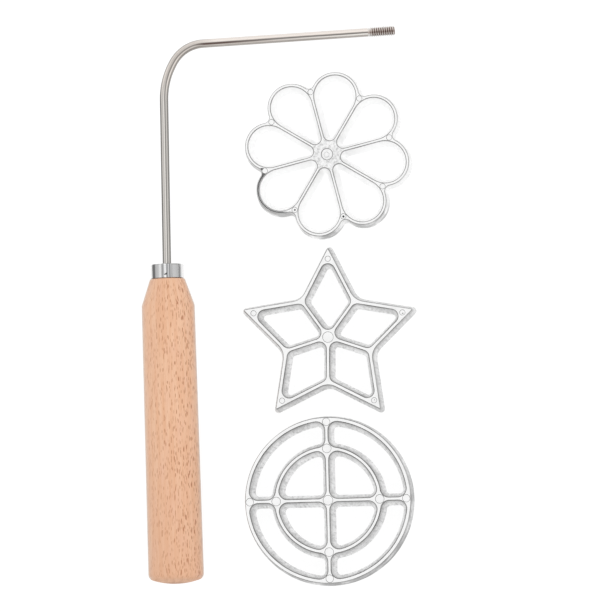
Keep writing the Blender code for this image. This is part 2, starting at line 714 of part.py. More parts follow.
def centre_set(pieces, movable):
    """Moves everything so that the origin is the middle of the set's footprint."""
    bpy.context.view_layer.update()
    corners = [piece.matrix_world @ vertex.co for piece in pieces for vertex in piece.data.vertices]
    middle_x = (min(point.x for point in corners) + max(point.x for point in corners)) / 2
    middle_y = (min(point.y for point in corners) + max(point.y for point in corners)) / 2
    for item in movable:
        item.matrix_world = Matrix.Translation((-middle_x, -middle_y, 0)) @ item.matrix_world
    bpy.context.view_layer.update()


def main():
    """Builds the whole set."""
    for old in list(bpy.data.objects):
        bpy.data.objects.remove(old, do_unlink=True)
    assembly = bpy.data.objects.new("handle_assembly", None)
    bpy.context.scene.collection.objects.link(assembly)
    lying = assembly_matrix()
    held = [make_handle(assembly), make_ferrule(assembly), make_rod(assembly)]
    assembly.matrix_world = lying
    moulds = [make_flower(), make_star(), make_ring()]
    place_moulds(lying, *moulds)
    centre_set(held + moulds, [assembly] + moulds)


main()
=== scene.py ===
"""Looks of the rosette iron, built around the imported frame.

The six pieces are made here as fine meshes in the frame's own coordinates, and each stands for
the CAD node of its name. The handle assembly's pieces are modelled upright, with +Z up the
handle's axis from the ferrule's top and +X towards the arm, and the moulds about their own
centres. All lengths are in metres and all angles in degrees.
"""

from math import acos, asin, atan, atan2, ceil, cos, degrees, floor, pi, radians, sin, sqrt, tan

import bpy
from mathutils import Matrix, Vector
from mathutils.geometry import tessellate_polygon


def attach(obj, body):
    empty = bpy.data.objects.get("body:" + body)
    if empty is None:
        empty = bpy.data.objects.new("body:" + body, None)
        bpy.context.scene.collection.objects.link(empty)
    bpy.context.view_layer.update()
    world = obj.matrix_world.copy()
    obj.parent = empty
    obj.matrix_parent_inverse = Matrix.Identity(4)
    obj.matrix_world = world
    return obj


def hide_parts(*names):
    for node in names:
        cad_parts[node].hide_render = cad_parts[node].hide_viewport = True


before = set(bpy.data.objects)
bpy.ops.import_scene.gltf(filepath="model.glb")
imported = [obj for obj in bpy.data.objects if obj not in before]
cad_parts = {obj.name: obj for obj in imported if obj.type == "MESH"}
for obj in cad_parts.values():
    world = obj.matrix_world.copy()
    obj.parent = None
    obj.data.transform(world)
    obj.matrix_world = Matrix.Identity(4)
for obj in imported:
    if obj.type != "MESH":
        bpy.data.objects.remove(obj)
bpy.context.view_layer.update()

# Places of the pieces in the frame
ASSEMBLY_PLACE = Vector((-0.0544542, 0.01994684, 0.01281107))
ASSEMBLY_ROLL = 5.001843
FLOWER_PLACE = Vector((0.02383819, 0.0733386, 0))
STAR_PLACE = Vector((0.02430819, -0.01588654, 0))
RING_PLACE = Vector((0.02430819, -0.09535813, 0))

# Rod
ROD_RADIUS = 0.00205
ROD_TANG_LENGTH = 0.032
ROD_STRAIGHT_LENGTH = 0.08035
ROD_LEAN = 0.7
BEND_WIDE_RADIUS = 0.0365
BEND_WIDE_ANGLE = 30.9
BEND_TIGHT_RADIUS = 0.0176
BEND_TIGHT_ANGLE = 56.13
ARM_LENGTH = 0.0940
ROD_END_CHAMFER = 0.0004

# Rolled thread, and the tapped holes that it fits
THREAD_RADIUS = 0.00238
THREAD_ROOT_RADIUS = 0.0019
THREAD_PITCH = 0.001058
THREAD_CREST_SHARE = 0.20
THREAD_ROOT_SHARE = 0.86
THREAD_LENGTH = 0.0133
THREAD_RUN_OUT = 0.0016
THREAD_TONE_RUN_OUT = 2.2 * THREAD_RUN_OUT
THREAD_TIP_CHAMFER = 0.0006
TAPPED_DEPTH = 0.0060
TAPPED_CLEARANCE = 0.00015
TAPPED_MOUTH = ((0.0004, 0.0), (0.0001, 0.0003))  # how much wider than the thread, and how deep
TAPPED_START = 0.0005
TAPPED_END = ((THREAD_ROOT_RADIUS, 0.0002), (0.0002, 0.0012))  # radius, and how far past the thread

# Ferrule
FERRULE_RADIUS = 0.0081
FERRULE_HEIGHT = 0.0069
FERRULE_WALL = 0.0007
FERRULE_LIP_WIDTH = 0.0006
FERRULE_LIP_HEIGHT = 0.0004
FERRULE_LIP_FLARE = 0.0002
FERRULE_ROUNDINGS = {1: 0.00022, 2: 0.00085, 3: 0.00012, 4: 0.00022, 5: 0.00015, 7: 0.0003}
CRIMP_HALF_WIDTH = 0.0014
CRIMP_LENGTH = 0.0058
CRIMP_DEPTH = 0.0003
CRIMP_TURN = 7.5
CRIMP_EDGE = 0.00035
CRIMP_DEEPEST = 0.00030  # how far to the right of its middle the crimp is deepest
CRIMP_RISE = 0.45
SLIT_BOTTOM = -0.00535
SLIT_HEIGHT = 0.00095
SLIT_RIGHT = 0.00085
SLIT_WIDTH = 0.00156
SLIT_DEPTH = 0.0003

# Handle
HANDLE_NECK_RADIUS = 0.0085
HANDLE_SHOULDER_RADIUS = 0.0129
HANDLE_END_RADIUS = 0.0135
HANDLE_TOP = -0.0072
HANDLE_SHOULDER = -0.0201
HANDLE_BOTTOM = -0.1559
HANDLE_END_ROUND = 0.0032
HANDLE_DOME_RADIUS = 0.036
HANDLE_SHOULDER_ROUND = 0.0007
HANDLE_NECK_ROUND = 0.00045
HANDLE_LEAN = 1.77
SEAM = 85.0
HANDLE_TAPER = degrees(atan((HANDLE_END_RADIUS - HANDLE_SHOULDER_RADIUS) / (HANDLE_SHOULDER - HANDLE_BOTTOM)))
CLEARANCE = 0.0003
SPIGOT_RADIUS = 0.0071
SPIGOT_TOP = -FERRULE_WALL - CLEARANCE
BORE_RADIUS = ROD_RADIUS + CLEARANCE
BORE_CHAMFER = 0.0004
BORE_HEIGHTS = (SPIGOT_TOP - 0.0003, -0.008, -0.016, -0.024, -ROD_TANG_LENGTH - CLEARANCE)

# Heights where the end grain's finish ends, where its tone fades in, and where its middle is painted darker
# brown as shade
END_GRAIN_TOP = HANDLE_BOTTOM + 0.0027
END_GRAIN_FADE = (HANDLE_BOTTOM + 0.0032, HANDLE_BOTTOM + 0.0020)
END_GRAIN_PAINTED_SHADE = (HANDLE_BOTTOM + 0.0009, HANDLE_BOTTOM + 0.0002)

# How the handle assembly lies in the frame
LYING = Matrix.Rotation(radians(-90.0 - HANDLE_TAPER), 4, "X")
ASSEMBLY = (Matrix.Translation(ASSEMBLY_PLACE) @ Matrix.Rotation(radians(HANDLE_LEAN), 4, "Z")
            @ LYING @ Matrix.Rotation(radians(ASSEMBLY_ROLL), 4, "Z"))

# Moulds
MOULD_HEIGHT = 0.014
TOP_EDGE = 0.00038
EDGE_LAST_TILT = 66.0
BOTTOM_EDGE = 0.00022

PETAL_COUNT = 8
FLOWER_RADIUS = 0.04025
FLOWER_WALL = 0.00135
FLOWER_WINDOW_RADIUS = 0.0103
FLOWER_HUB_RADIUS = 0.0067
FLOWER_CORNER_RADIUS = 0.00315
FLOWER_NOTCH_RADIUS = 0.0029
FLOWER_DRAFTS = (0.0010, 0.0024)
FLOWER_TURN = -7.7
PETAL_ANGLE = 360.0 / PETAL_COUNT
PETAL_RADIUS = FLOWER_WINDOW_RADIUS + FLOWER_WALL
PETAL_REACH = FLOWER_RADIUS - PETAL_RADIUS

STAR_POINT_COUNT = 5
STAR_EDGE_DISTANCE = 0.01995
STAR_POINT_ANGLE = 54.6
STAR_POINT_RADIUS = 0.0004
STAR_NOTCH_RADIUS = 0.0083
STAR_WALL = 0.00165
STAR_RIB = 0.00155
STAR_CORNER_RADIUS = 0.0035
STAR_DRAFTS = (0.0015, 0.00205)
STAR_TURN = 0.13
STAR_ANGLE = 360.0 / STAR_POINT_COUNT
STAR_HALF_ANGLE = STAR_POINT_ANGLE / 2
STAR_SIDE_ANGLE = 90.0 - STAR_HALF_ANGLE

RING_RADIUS = 0.0404
RING_WALL = 0.00175
RING_INNER_RADIUS = 0.02525
RING_RIB = 0.0016
RING_SPOKE = 0.00155
RING_CORNER_RADIUS = 0.0042
RING_DRAFTS = (0.0010, 0.0022)
RING_TURN = 1.33
RING_CORNER_ASIDE = RING_SPOKE / 2 + RING_CORNER_RADIUS

# Ejector pin marks: the parts of a junction's room that they take, the rows across a mark as (distance
# out from its radius, height, lean inwards, lean upwards), and the pits as (place in the mark, radius)
JUNCTION_MARK_SHARE = 0.85
PETAL_MARK_SHARE = 0.80
STAR_MARK_SHARE = 0.56
STAR_CENTRE_MARK_RADIUS = 0.00265
FLOWER_CENTRE_MARK_RADIUS = 0.0028
BUTTON_RADIUS = 0.0012
BUTTON_PLACE = (-0.0002, -0.0002)
MARK_DEPTH = 0.00025
MARK_EDGE = 0.00011
MARK_FLOOR = MOULD_HEIGHT - MARK_DEPTH
MARK_ROWS = (
    (MARK_EDGE * 0.5, MOULD_HEIGHT, 0.0, 1.0),
    (MARK_EDGE * 0.1, MOULD_HEIGHT - MARK_EDGE * 0.35, 0.75, 0.65),
    (-MARK_EDGE * 0.2, MOULD_HEIGHT - MARK_DEPTH / 2, 0.95, 0.3),
    (-MARK_EDGE * 0.6, MARK_FLOOR + MARK_EDGE * 0.3, 0.7, 0.7),
    (-MARK_EDGE * 1.3, MARK_FLOOR, 0.0, 1.0),
)
CENTRE_MARK_ROWS = (
    (MARK_EDGE, MOULD_HEIGHT, 0.0, 1.0),
    (MARK_EDGE * 0.3, MOULD_HEIGHT - MARK_EDGE * 0.4, 0.75, 0.65),
    (-MARK_EDGE * 0.6, MARK_FLOOR + MARK_EDGE * 0.4, 0.85, 0.5),
    (-MARK_EDGE * 1.6, MARK_FLOOR, 0.0, 1.0),
)
BUTTON_ROWS = (
    (MARK_EDGE, MARK_FLOOR, 0.0, 1.0),
    (0.0, MARK_FLOOR + MARK_EDGE * 0.9, -0.7, 0.7),
    (-MARK_EDGE * 1.5, MARK_FLOOR + MARK_EDGE * 1.2, 0.0, 1.0),
)
FLOWER_PITS = {3: ((0.0001, 0.0), 0.00045), 4: ((0.0, -0.0001), 0.00055)}
STAR_PITS = {3: ((0.0002, 0.0002), 0.0002), 4: ((0.0002, -0.0004), 0.0003)}

# Fineness of the meshes
FACET_DEPTH = 0.000006
EDGE_STEPS = 6
ROD_SEGMENTS = 72
STRAIGHT_STEP = 0.004
BEND_STEP = 1.8
RINGS_PER_PITCH = 18
FERRULE_SEGMENTS = 256
FERRULE_STEP = 0.00015
HANDLE_SEGMENTS = 160
HANDLE_STEP = 0.0012
DOME_STEPS = 8
END_ROUND_STEPS = 10
TAPPED_SEGMENTS = 40
TAPPED_RINGS_PER_PITCH = 10
MARK_SEGMENTS = 40
CENTRE_MARK_SEGMENTS = 64
PIT_SEGMENTS = 14
SHARP_ANGLE = 38.0

# Camera: it looks from far above, a little from the right and from the handle's end
VIEW_TARGET = Vector((0.01358, -0.00069, 0.0135))
VIEW_WIDTH = 0.2981
VIEW_DISTANCE = 5.0
VIEW_SLOPE_X = 0.07
VIEW_SLOPE_Y = -0.05

# Light: the room's tones from the horizon up, and the lamps as (name, place, size, power)
ROOM_TONES = ((0.0, 0.92), (0.25, 0.92), (0.55, 0.95), (0.85, 1.0))
ROOM_STRENGTH = 0.95
LAMPS = (
    ("key", (0.0, 1.25, 1.2), 1.3, 1.2),
    ("left_fill", (-1.3, 0, 0.42), 1.6, 1.9),
    ("right_fill", (1.3, 0, 0.42), 1.6, 4.2),
)

# Table: its reach, how far it lies under the pieces, and its tones for light and for the eye
TABLE_REACH = 60.0
TABLE_DROP = 0.00002
TABLE_BOUNCE_TONE = 0.66
TABLE_SEEN_TONE = 0.20
TABLE_GLOW = 0.885

# Ray flecks of the wood: cells round and along the handle, shift of the cells, radii where a fleck is
# full and where it ends, and the chances between which it grows from none to full
FLECKS = (
    ((56, 125), (0.2, 0.6), (0.10, 0.17), (0.22, 0.75)),
    ((72, 165), (5.1, 3.3), (0.10, 0.18), (0.30, 0.90)),
    ((47, 95), (9.3, 8.1), (0.10, 0.165), (0.45, 0.95)),
    ((30, 85), (2.7, 5.9), (0.06, 0.11), (0.55, 0.80)),
    ((84, 205), (4.4, 7.7), (0.11, 0.20), (0.25, 1.00)),
)

# Painted reflections: tones round the ferrule, the three stretches of the wire and the thread, by the share
# of a turn, standing in for the highlights and dark bands that these shiny pieces reflect
CHROME_PAINTED_REFLECTIONS = (
    (0.0, 0.62), (0.24, 0.85), (0.330, 0.85), (0.343, 0.12), (0.377, 0.10), (0.393, 0.43), (0.417, 0.47),
    (0.448, 0.74), (0.468, 0.33), (0.481, 0.56), (0.489, 1.0), (0.498, 1.0), (0.507, 0.38), (0.519, 0.34),
    (0.527, 0.80), (0.536, 0.20), (0.546, 0.52), (0.586, 0.40), (0.620, 0.36), (0.647, 0.40),
    (0.667, 0.50), (0.679, 0.84), (0.707, 0.90), (0.767, 0.80), (1.0, 0.62),
)
STRAIGHT_PAINTED_REFLECTIONS = (
    (0.0, 0.40), (0.25, 0.09), (0.330, 0.08), (0.365, 0.19), (0.395, 0.52), (0.420, 0.57), (0.445, 0.38),
    (0.470, 0.76), (0.495, 0.84), (0.520, 0.24), (0.545, 0.26), (0.570, 0.48), (0.600, 0.36),
    (0.630, 0.22), (0.670, 0.18), (0.74, 0.18), (1.0, 0.40),
)
BEND_PAINTED_REFLECTIONS = (
    (0.0, 0.40), (0.25, 0.10), (0.300, 0.11), (0.335, 0.34), (0.365, 0.64), (0.395, 0.74), (0.420, 0.63),
    (0.445, 0.53), (0.470, 0.56), (0.495, 0.35), (0.520, 0.18), (0.545, 0.55), (0.570, 0.68),
    (0.600, 0.33), (0.630, 0.27), (0.670, 0.33), (0.75, 0.18), (1.0, 0.40),
)
ARM_PAINTED_REFLECTIONS = (
    (0.0, 0.50), (0.25, 0.62), (0.300, 0.70), (0.335, 0.77), (0.365, 0.86), (0.395, 0.92), (0.420, 0.92),
    (0.445, 0.88), (0.470, 0.67), (0.495, 0.28), (0.520, 0.15), (0.545, 0.50), (0.570, 0.76),
    (0.600, 0.62), (0.630, 0.43), (0.670, 0.44), (0.75, 0.30), (1.0, 0.50),
)
THREAD_PAINTED_REFLECTIONS = (
    (0.0, 0.50), (0.27, 0.85), (0.38, 0.84, 0.81, 0.78), (0.46, 0.72, 0.67, 0.63),
    (0.515, 0.40, 0.33, 0.30), (0.545, 0.44, 0.38, 0.35), (0.59, 0.76, 0.73, 0.70),
    (0.65, 0.56, 0.54, 0.52), (0.73, 0.66), (1.0, 0.50),
)


# General shapes

def polar(radius, angle):
    """The point at a distance from the origin, in a direction given in degrees."""
    return Vector((radius * cos(radians(angle)), radius * sin(radians(angle))))


def smooth(low, high, value):
    """Rises smoothly from 0 at low to 1 at high."""
    share = min(1.0, max(0.0, (value - low) / (high - low)))
    return share * share * (3 - 2 * share)


def add_object(name, data):
    """Adds an object to the scene."""
    made = bpy.data.objects.new(name, data)
    bpy.context.scene.collection.objects.link(made)
    return made


class Skin:
    """Points, faces and surface coordinates of one piece, gathered before its mesh is made."""

    def __init__(self):
        self.points = []
        self.normals = []
        self.faces = []
        self.coordinates = []
        self.finishes = []

    def add_loop(self, points, normals=None):
        """Adds a closed row of points and returns their numbers."""
        start = len(self.points)
        self.points.extend(points)
        self.normals.extend(normals or [None] * len(points))
        return list(range(start, start + len(points)))

    def add_face(self, corners, finish=0, coordinates=None):
        """Adds one face."""
        self.faces.append(tuple(corners))
        self.finishes.append(finish)
        self.coordinates.append(coordinates or [(0.0, 0.0)] * len(corners))

    def join_loops(self, lower, upper, finish=0, along=(0.0, 0.0)):
        """Joins two rows of as many points by a band of faces, wound so that it faces outwards
        where the rows run anticlockwise and the second lies above the first. The finish is a
        number or a function of the face's number, and along gives the second surface coordinate
        of each row, as one number or as a list."""
        count = len(lower)
        lows, highs = (value if isinstance(value, list) else [value] * count for value in along)
        for i in range(count):
            j = (i + 1) % count
            first, second = i / count, (i + 1) / count
            around = [(first, lows[i]), (second, lows[j]), (second, highs[j]), (first, highs[i])]
            chosen = finish(i) if callable(finish) else finish
            self.add_face((lower[i], lower[j], upper[j], upper[i]), chosen, around)

    def make(self, name, materials, matrix=Matrix.Identity(4)):
        """Makes the object, with its place in its mesh."""
        data = bpy.data.meshes.new(name)
        data.from_pydata([tuple(matrix @ point) for point in self.points], [], self.faces)
        for material in materials:
            data.materials.append(material)
        data.polygons.foreach_set("material_index", self.finishes)
        layer = data.uv_layers.new(name="UVMap")
        layer.data.foreach_set("uv", [value for face in self.coordinates for pair in face for value in pair])
        data.shade_smooth()
        if any(normal is not None for normal in self.normals):
            own = [Vector(normal.vector) for normal in data.vertex_normals]
            chosen = [known if known is not None else own[i] for i, known in enumerate(self.normals)]
            data.normals_split_custom_set_from_vertices([tuple(normal.normalized()) for normal in chosen])
        else:
            data.set_sharp_from_angle(angle=radians(SHARP_ANGLE))
        return add_object(name, data)


def circle(radius, height, segments, centre=(0.0, 0.0), start=0.0):
    """A level circle of points, anticlockwise."""
    points = []
    for i in range(segments):
        point = polar(radius, start + 360.0 * i / segments)
        points.append(Vector((centre[0] + point.x, centre[1] + point.y, height)))
    return points


def divided(profile, step):
    """A profile with its long runs cut into pieces no longer than the step."""
    points = [profile[0]]
    for start, end in zip(profile, profile[1:]):
        length = sqrt((end[0] - start[0]) ** 2 + (end[1] - start[1]) ** 2)
        pieces = max(1, ceil(length / step))
        for i in range(1, pieces + 1):
            share = i / pieces
            points.append((start[0] + (end[0] - start[0]) * share, start[1] + (end[1] - start[1]) * share))
    return points


def rounded(profile, corners, steps=5):
    """A profile with some of its corners rounded: corners gives the rounding by the corner's number."""
    points = []
    for i, point in enumerate(profile):
        size = corners.get(i)
        if not size:
            points.append(point)
            continue
        here = Vector(point)
        start = here + (Vector(profile[i - 1]) - here).normalized() * size
        end = here + (Vector(profile[i + 1]) - here).normalized() * size
        for k in range(steps + 1):
            share = k / steps
            mixed = start * (1 - share) ** 2 + here * 2 * share * (1 - share) + end * share ** 2
            points.append((mixed.x, mixed.y))
    return points


# Materials

def grey(tone):
    """A neutral colour."""
    return (tone, tone, tone)


class Nodes:
    """A node tree with short ways to add nodes. A socket is given a value, or an output to link."""

    def __init__(self, tree):
        self.tree = tree

    def feed(self, node, sockets):
        """Sets or links some of a node's sockets, by their names or numbers."""
        for key, value in sockets.items():
            if isinstance(value, bpy.types.NodeSocket):
                self.tree.links.new(value, node.inputs[key])
            else:
                node.inputs[key].default_value = value

    def node(self, kind, sockets, **settings):
        """Adds a node with its settings, and then feeds its sockets."""
        made = self.tree.nodes.new(kind)
        for key, value in settings.items():
            setattr(made, key, value)
        self.feed(made, sockets)
        return made

    def coordinates(self, source):
        """Texture coordinates. The source Upright gives places in the handle assembly's own frame,
        with Z along the handle."""
        if source != "Upright":
            return self.node("ShaderNodeTexCoord", {}).outputs[source]
        back = ASSEMBLY.inverted()
        return self.node("ShaderNodeMapping", {
            "Vector": self.coordinates("Object"), "Location": back.to_translation(),
            "Rotation": back.to_euler("XYZ")}).outputs["Vector"]

    def place(self, scale, source="Object", shift=(0, 0, 0)):
        """Texture coordinates, scaled and then shifted."""
        return self.node("ShaderNodeMapping", {
            "Vector": self.coordinates(source), "Scale": scale, "Location": shift}).outputs["Vector"]

    def parts(self, vector):
        """The X, Y and Z of a vector."""
        return self.node("ShaderNodeSeparateXYZ", {"Vector": vector}).outputs

    def noise(self, scale, source="Object", shift=(0, 0, 0), detail=3.0, roughness=0.5, distortion=0.0):
        """Noise with its own scale along each coordinate."""
        return self.node("ShaderNodeTexNoise", {
            "Vector": self.place(scale, source, shift), "Scale": 1.0, "Detail": detail,
            "Roughness": roughness, "Distortion": distortion}).outputs["Fac"]

    def ramp(self, value, low, high, start=0.0, end=1.0, steps="LINEAR"):
        """Maps a value from one range to another, clamped."""
        return self.node("ShaderNodeMapRange", {
            "Value": value, "From Min": low, "From Max": high, "To Min": start, "To Max": end,
        }, interpolation_type=steps).outputs["Result"]

    def ease(self, value, low, high, start=0.0, end=1.0):
        """The same, with a smooth start and end."""
        return self.ramp(value, low, high, start, end, "SMOOTHSTEP")

    def maths(self, operation, first, second):
        """The result of an operation on two values."""
        return self.node("ShaderNodeMath", {0: first, 1: second}, operation=operation).outputs[0]

    def times(self, *values):
        """The product of some values."""
        product = values[0]
        for value in values[1:]:
            product = self.maths("MULTIPLY", product, value)
        return product

    def mix(self, share, first, second, blend="MIX"):
        """Mixes two colours. Each is an output or three numbers."""
        first, second = ((*tone, 1.0) if isinstance(tone, tuple) else tone for tone in (first, second))
        made = self.node("ShaderNodeMix", {}, data_type="RGBA", blend_type=blend)
        self.feed(made, {0: share, 6: first, 7: second})
        return made.outputs[2]

    def tint(self, tone, colour, value, low, high, most=1.0):
        """Mixes a colour into a tone: none of it where the value is low, and the most where it is high."""
        return self.mix(self.ramp(value, low, high, 0.0, most), tone, colour)

    def curve(self, value, stops, interpolation="EASE"):
        """A colour ramp: stops are (place, grey) or (place, red, green, blue)."""
        made = self.node("ShaderNodeValToRGB", {"Fac": value})
        ramp = made.color_ramp
        ramp.interpolation = interpolation
        for i, (where, *tone) in enumerate(stops):
            element = ramp.elements[i] if i < 2 else ramp.elements.new(where)
            element.position = where
            element.color = (*(tone * 3 if len(tone) == 1 else tone), 1.0)
        return made.outputs["Color"]

    def bump(self, height, distance, strength):
        """The normal of a surface with bumps."""
        return self.node("ShaderNodeBump", {
            "Height": height, "Distance": distance, "Strength": strength}).outputs["Normal"]


class Shader(Nodes):
    """The nodes of a new material."""

    def __init__(self, name, base, metallic, roughness):
        self.material = bpy.data.materials.new(name)
        self.material.use_nodes = True
        self.material.diffuse_color = (*base, 1.0)
        super().__init__(self.material.node_tree)
        self.surface = self.tree.nodes["Principled BSDF"]
        self.finish({"Base Color": (*base, 1.0), "Metallic": metallic, "Roughness": roughness})

    def finish(self, sockets):
        """Feeds the surface, and returns the material."""
        self.feed(self.surface, sockets)
        return self.material


def ray_flecks(shader):
    """Short flecks along the grain, bent a little, as a share from 0 to 1."""
    flecks = 0.0
    for scale, shift, (full, ended), (never, always) in FLECKS:
        place = shader.place((*scale, 1), "UV", (*shift, 0))
        wander = shader.node("ShaderNodeTexNoise", {"Vector": place, "Scale": 2.2, "Detail": 1.0})
        bent = shader.node("ShaderNodeVectorMath", {
            0: wander.outputs["Color"], 1: (0.22, 0.22, 0.0), 2: place}, operation="MULTIPLY_ADD")
        cells = shader.node("ShaderNodeTexVoronoi", {}, feature="F1", voronoi_dimensions="2D")
        shader.feed(cells, {"Vector": bent.outputs[0], "Scale": 1.0, "Randomness": 1.0})
        spot = shader.ease(cells.outputs["Distance"], full, ended, 1.0, 0.0)
        chance = shader.node("ShaderNodeSeparateColor", {"Color": cells.outputs["Color"]}).outputs[0]
        layer = shader.times(spot, shader.ramp(chance, never, always))
        flecks = shader.maths("MAXIMUM", flecks, layer)
    return flecks


def beech(name, sheen):
    """Sanded beech: fine streaks along the grain and many short reddish ray flecks, most on one side,
    with rings and pores where the end cuts across the grain, and painted shade darkening the middle of the
    end."""
    shader = Shader(name, (0.84, 0.51, 0.33), 0.0, 0.55)
    around, along, _ = shader.parts(shader.coordinates("UV"))
    broad = shader.noise((46, 26, 1), "UV", distortion=0.4)
    fine = shader.noise((330, 95, 1), "UV", (3, 1, 0), detail=4, roughness=0.6)
    blush = shader.noise((16, 55, 1), "UV", (7, 2, 0), detail=2)
    tone = shader.tint((0.880, 0.560, 0.375), (0.815, 0.470, 0.290), broad, 0.36, 0.64)
    tone = shader.tint(tone, (0.850, 0.520, 0.380), blush, 0.5, 0.70, 0.45)
    tone = shader.tint(tone, (0.735, 0.395, 0.235), fine, 0.42, 0.66, 0.62)
    tone = shader.tint(tone, (0.700, 0.380, 0.235), along, -0.070, -0.150, 0.35)
    flecks = shader.times(ray_flecks(shader), shader.ease(around, 0.36, 0.64, 0.44, 1.0))
    tone = shader.tint(tone, (0.370, 0.115, 0.036), flecks, 0.0, 1.0, 0.88)

    rings = shader.noise((620, 70, 60), "Upright", detail=4, roughness=0.6, distortion=0.5)
    pores = shader.noise((2600, 2600, 300), "Upright", (3, 8, 1), detail=2)
    cut = shader.tint((0.810, 0.490, 0.320), (0.700, 0.385, 0.235), rings, 0.38, 0.64)
    cut = shader.tint(cut, (0.420, 0.190, 0.100), pores, 0.54, 0.70, 0.55)
    # Painted shade: the middle of the end is mixed towards dark brown.
    cut = shader.tint(cut, (0.400, 0.190, 0.105), along, *END_GRAIN_PAINTED_SHADE, 0.55)
    tone = shader.mix(shader.ease(along, *END_GRAIN_FADE), tone, cut)

    height = shader.maths("SUBTRACT", fine, shader.times(flecks, 0.6))
    return shader.finish({
        "Base Color": tone, "Roughness": shader.ramp(fine, 0.3, 0.7, 0.48, 0.62),
        "Normal": shader.bump(height, 0.00006, 0.35), "Specular IOR Level": 0.35,
        "Sheen Weight": sheen, "Sheen Roughness": 0.36, "Sheen Tint": (0.88, 1.0, 1.0, 1.0)})


def cast_face(name, base, roughness, hub=False):
    """A casting's flat face: bright, faintly cloudy, with fine grain, and a crusty patch on the hub."""
    shader = Shader(name, grey(base), 1.0, roughness)
    cloud = shader.noise((170, 170, 170), detail=4, roughness=0.6)
    speckle = shader.noise((1500, 1500, 1500), shift=(4, 1, 2), roughness=0.6)
    tone = shader.tint(grey(base), grey(base * 0.92), cloud, 0.42, 0.72)
    tone = shader.tint(tone, grey(base * 0.74), speckle, 0.60, 0.78, 0.5)
    height = shader.maths("ADD", shader.times(cloud, 1.5), speckle)
    if hub:
        place = shader.place((1, 1, 0))
        distance = shader.node("ShaderNodeVectorMath", {0: place}, operation="LENGTH").outputs["Value"]
        patch = shader.times(shader.ease(distance, 0.0066, 0.0092, 1.0, 0.0),
                             shader.ramp(distance, 0.0027, 0.0030, 0.30, 1.0))
        crust = shader.noise((760, 760, 760), shift=(1, 7, 3), detail=5, roughness=0.70)
        spots = shader.times(patch, shader.ramp(crust, 0.44, 0.64), 0.85)
        tone = shader.mix(spots, tone, grey(base * 0.52))
        height = shader.maths("ADD", height, shader.times(patch, crust, 14.0))
    return shader.finish({
        "Base Color": tone, "Roughness": shader.ramp(cloud, 0.35, 0.70, roughness - 0.05, roughness + 0.09),
        "Normal": shader.bump(height, 0.00002, 0.6)})


def cast_wall(name, base, line, contrast=1.0, painted_shade_patches=0.0, lean=0.45):
    """A drafted wall: a painted dark line under the face for the dark reflection in its edge, painted shade
    darkening its upper part, streaks from the die and a gritty grain. Blotches of painted shade, as dark as
    the share given, lie on the side towards -Y, and towards -X too where the lean is above zero."""
    shader = Shader(name, grey(base), 1.0, 0.44)
    across, along, height = shader.parts(shader.coordinates("Object"))
    streak = shader.noise((820, 820, 75), detail=4, roughness=0.62)
    smear = shader.noise((190, 190, 60), shift=(5, 2, 8), roughness=0.6)
    cloud = shader.noise((95, 95, 95), shift=(2, 6, 1), detail=4, roughness=0.6)
    speckle = shader.noise((1300, 1300, 900), shift=(4, 1, 2), roughness=0.6)
    tone = shader.tint(grey(base), grey(base * 0.80), smear, 0.40, 0.68, 0.9 * contrast)
    tone = shader.tint(tone, grey(base * 0.60), streak, 0.46, 0.68, 0.85 * contrast)
    tone = shader.tint(tone, grey(base * 0.60), speckle, 0.56, 0.76, 0.6 * contrast)
    # Painted shade: dark blotches on the side towards -Y, and towards -X too where the lean is above zero.
    if painted_shade_patches:
        side = shader.ease(shader.maths("ADD", shader.times(across, lean), along), -0.004, -0.018)
        dark_patch = shader.times(side, shader.ramp(cloud, 0.40, 0.56, 0.0, painted_shade_patches))
        tone = shader.mix(dark_patch, tone, grey(base * 0.36))
    # Painted shade: the wall darkens towards its top.
    tone = shader.mix(shader.ease(height, 0.0062, 0.0128, 0.0, 0.50 * contrast), tone, grey(base * 0.45))
    # Painted shade: a dark line at the top of the wall for the dark reflection in the rounded edge.
    edge = shader.times(shader.ease(height, 0.0120, 0.0131),
                        shader.ramp(cloud, 0.30, 0.66, 0.60 * line, line))
    tone = shader.mix(edge, tone, (0.16, 0.155, 0.15))
    relief = shader.maths("ADD", shader.times(streak, 2.0), speckle)
    return shader.finish({
        "Base Color": tone, "Roughness": shader.ramp(cloud, 0.35, 0.70, 0.38, 0.52),
        "Normal": shader.bump(relief, 0.00003, 0.6)})


def painted_shade_edge(name, base, low, high):
    """The rounded edge of a face, painted dark in blotches as painted shade for the dark reflection in it."""
    shader = Shader(name, base, 1.0, 0.36)
    cloud = shader.noise((130, 130, 130), shift=(8, 3, 5), roughness=0.6)
    # Painted shade: the edge is mixed towards near black in blotches.
    tone = shader.mix(shader.ramp(cloud, 0.34, 0.66, low, high), base, (0.10, 0.098, 0.095))
    return shader.finish({"Base Color": tone, "Normal": shader.bump(cloud, 0.00003, 0.4)})


def chrome():
    """Bright chrome with drawing lines up the cup and painted reflections as tone bands round it."""
    shader = Shader("chrome", (0.60, 0.60, 0.61), 1.0, 0.16)
    lines = shader.noise((1500, 1500, 60), "Upright", roughness=0.6)
    haze = shader.noise((260, 260, 120), "Upright", (2, 5, 1))
    unrolled = shader.node("ShaderNodeMapping", {
        "Vector": shader.coordinates("Upright"), "Rotation": (0, 0, radians(ASSEMBLY_ROLL))})
    x, y, _ = shader.parts(unrolled.outputs["Vector"])
    around = shader.ramp(shader.maths("ARCTAN2", x, shader.times(y, -1.0)), -pi, pi)
    # Painted reflection: the tone bands round the cup stand in for what the chrome reflects.
    tone = shader.tint(shader.curve(around, CHROME_PAINTED_REFLECTIONS), (0.34, 0.34, 0.35), lines, 0.35, 0.70, 0.25)
    return shader.finish({
        "Base Color": tone, "Roughness": shader.ramp(haze, 0.35, 0.70, 0.14, 0.26),
        "Normal": shader.bump(lines, 0.00002, 0.25)})


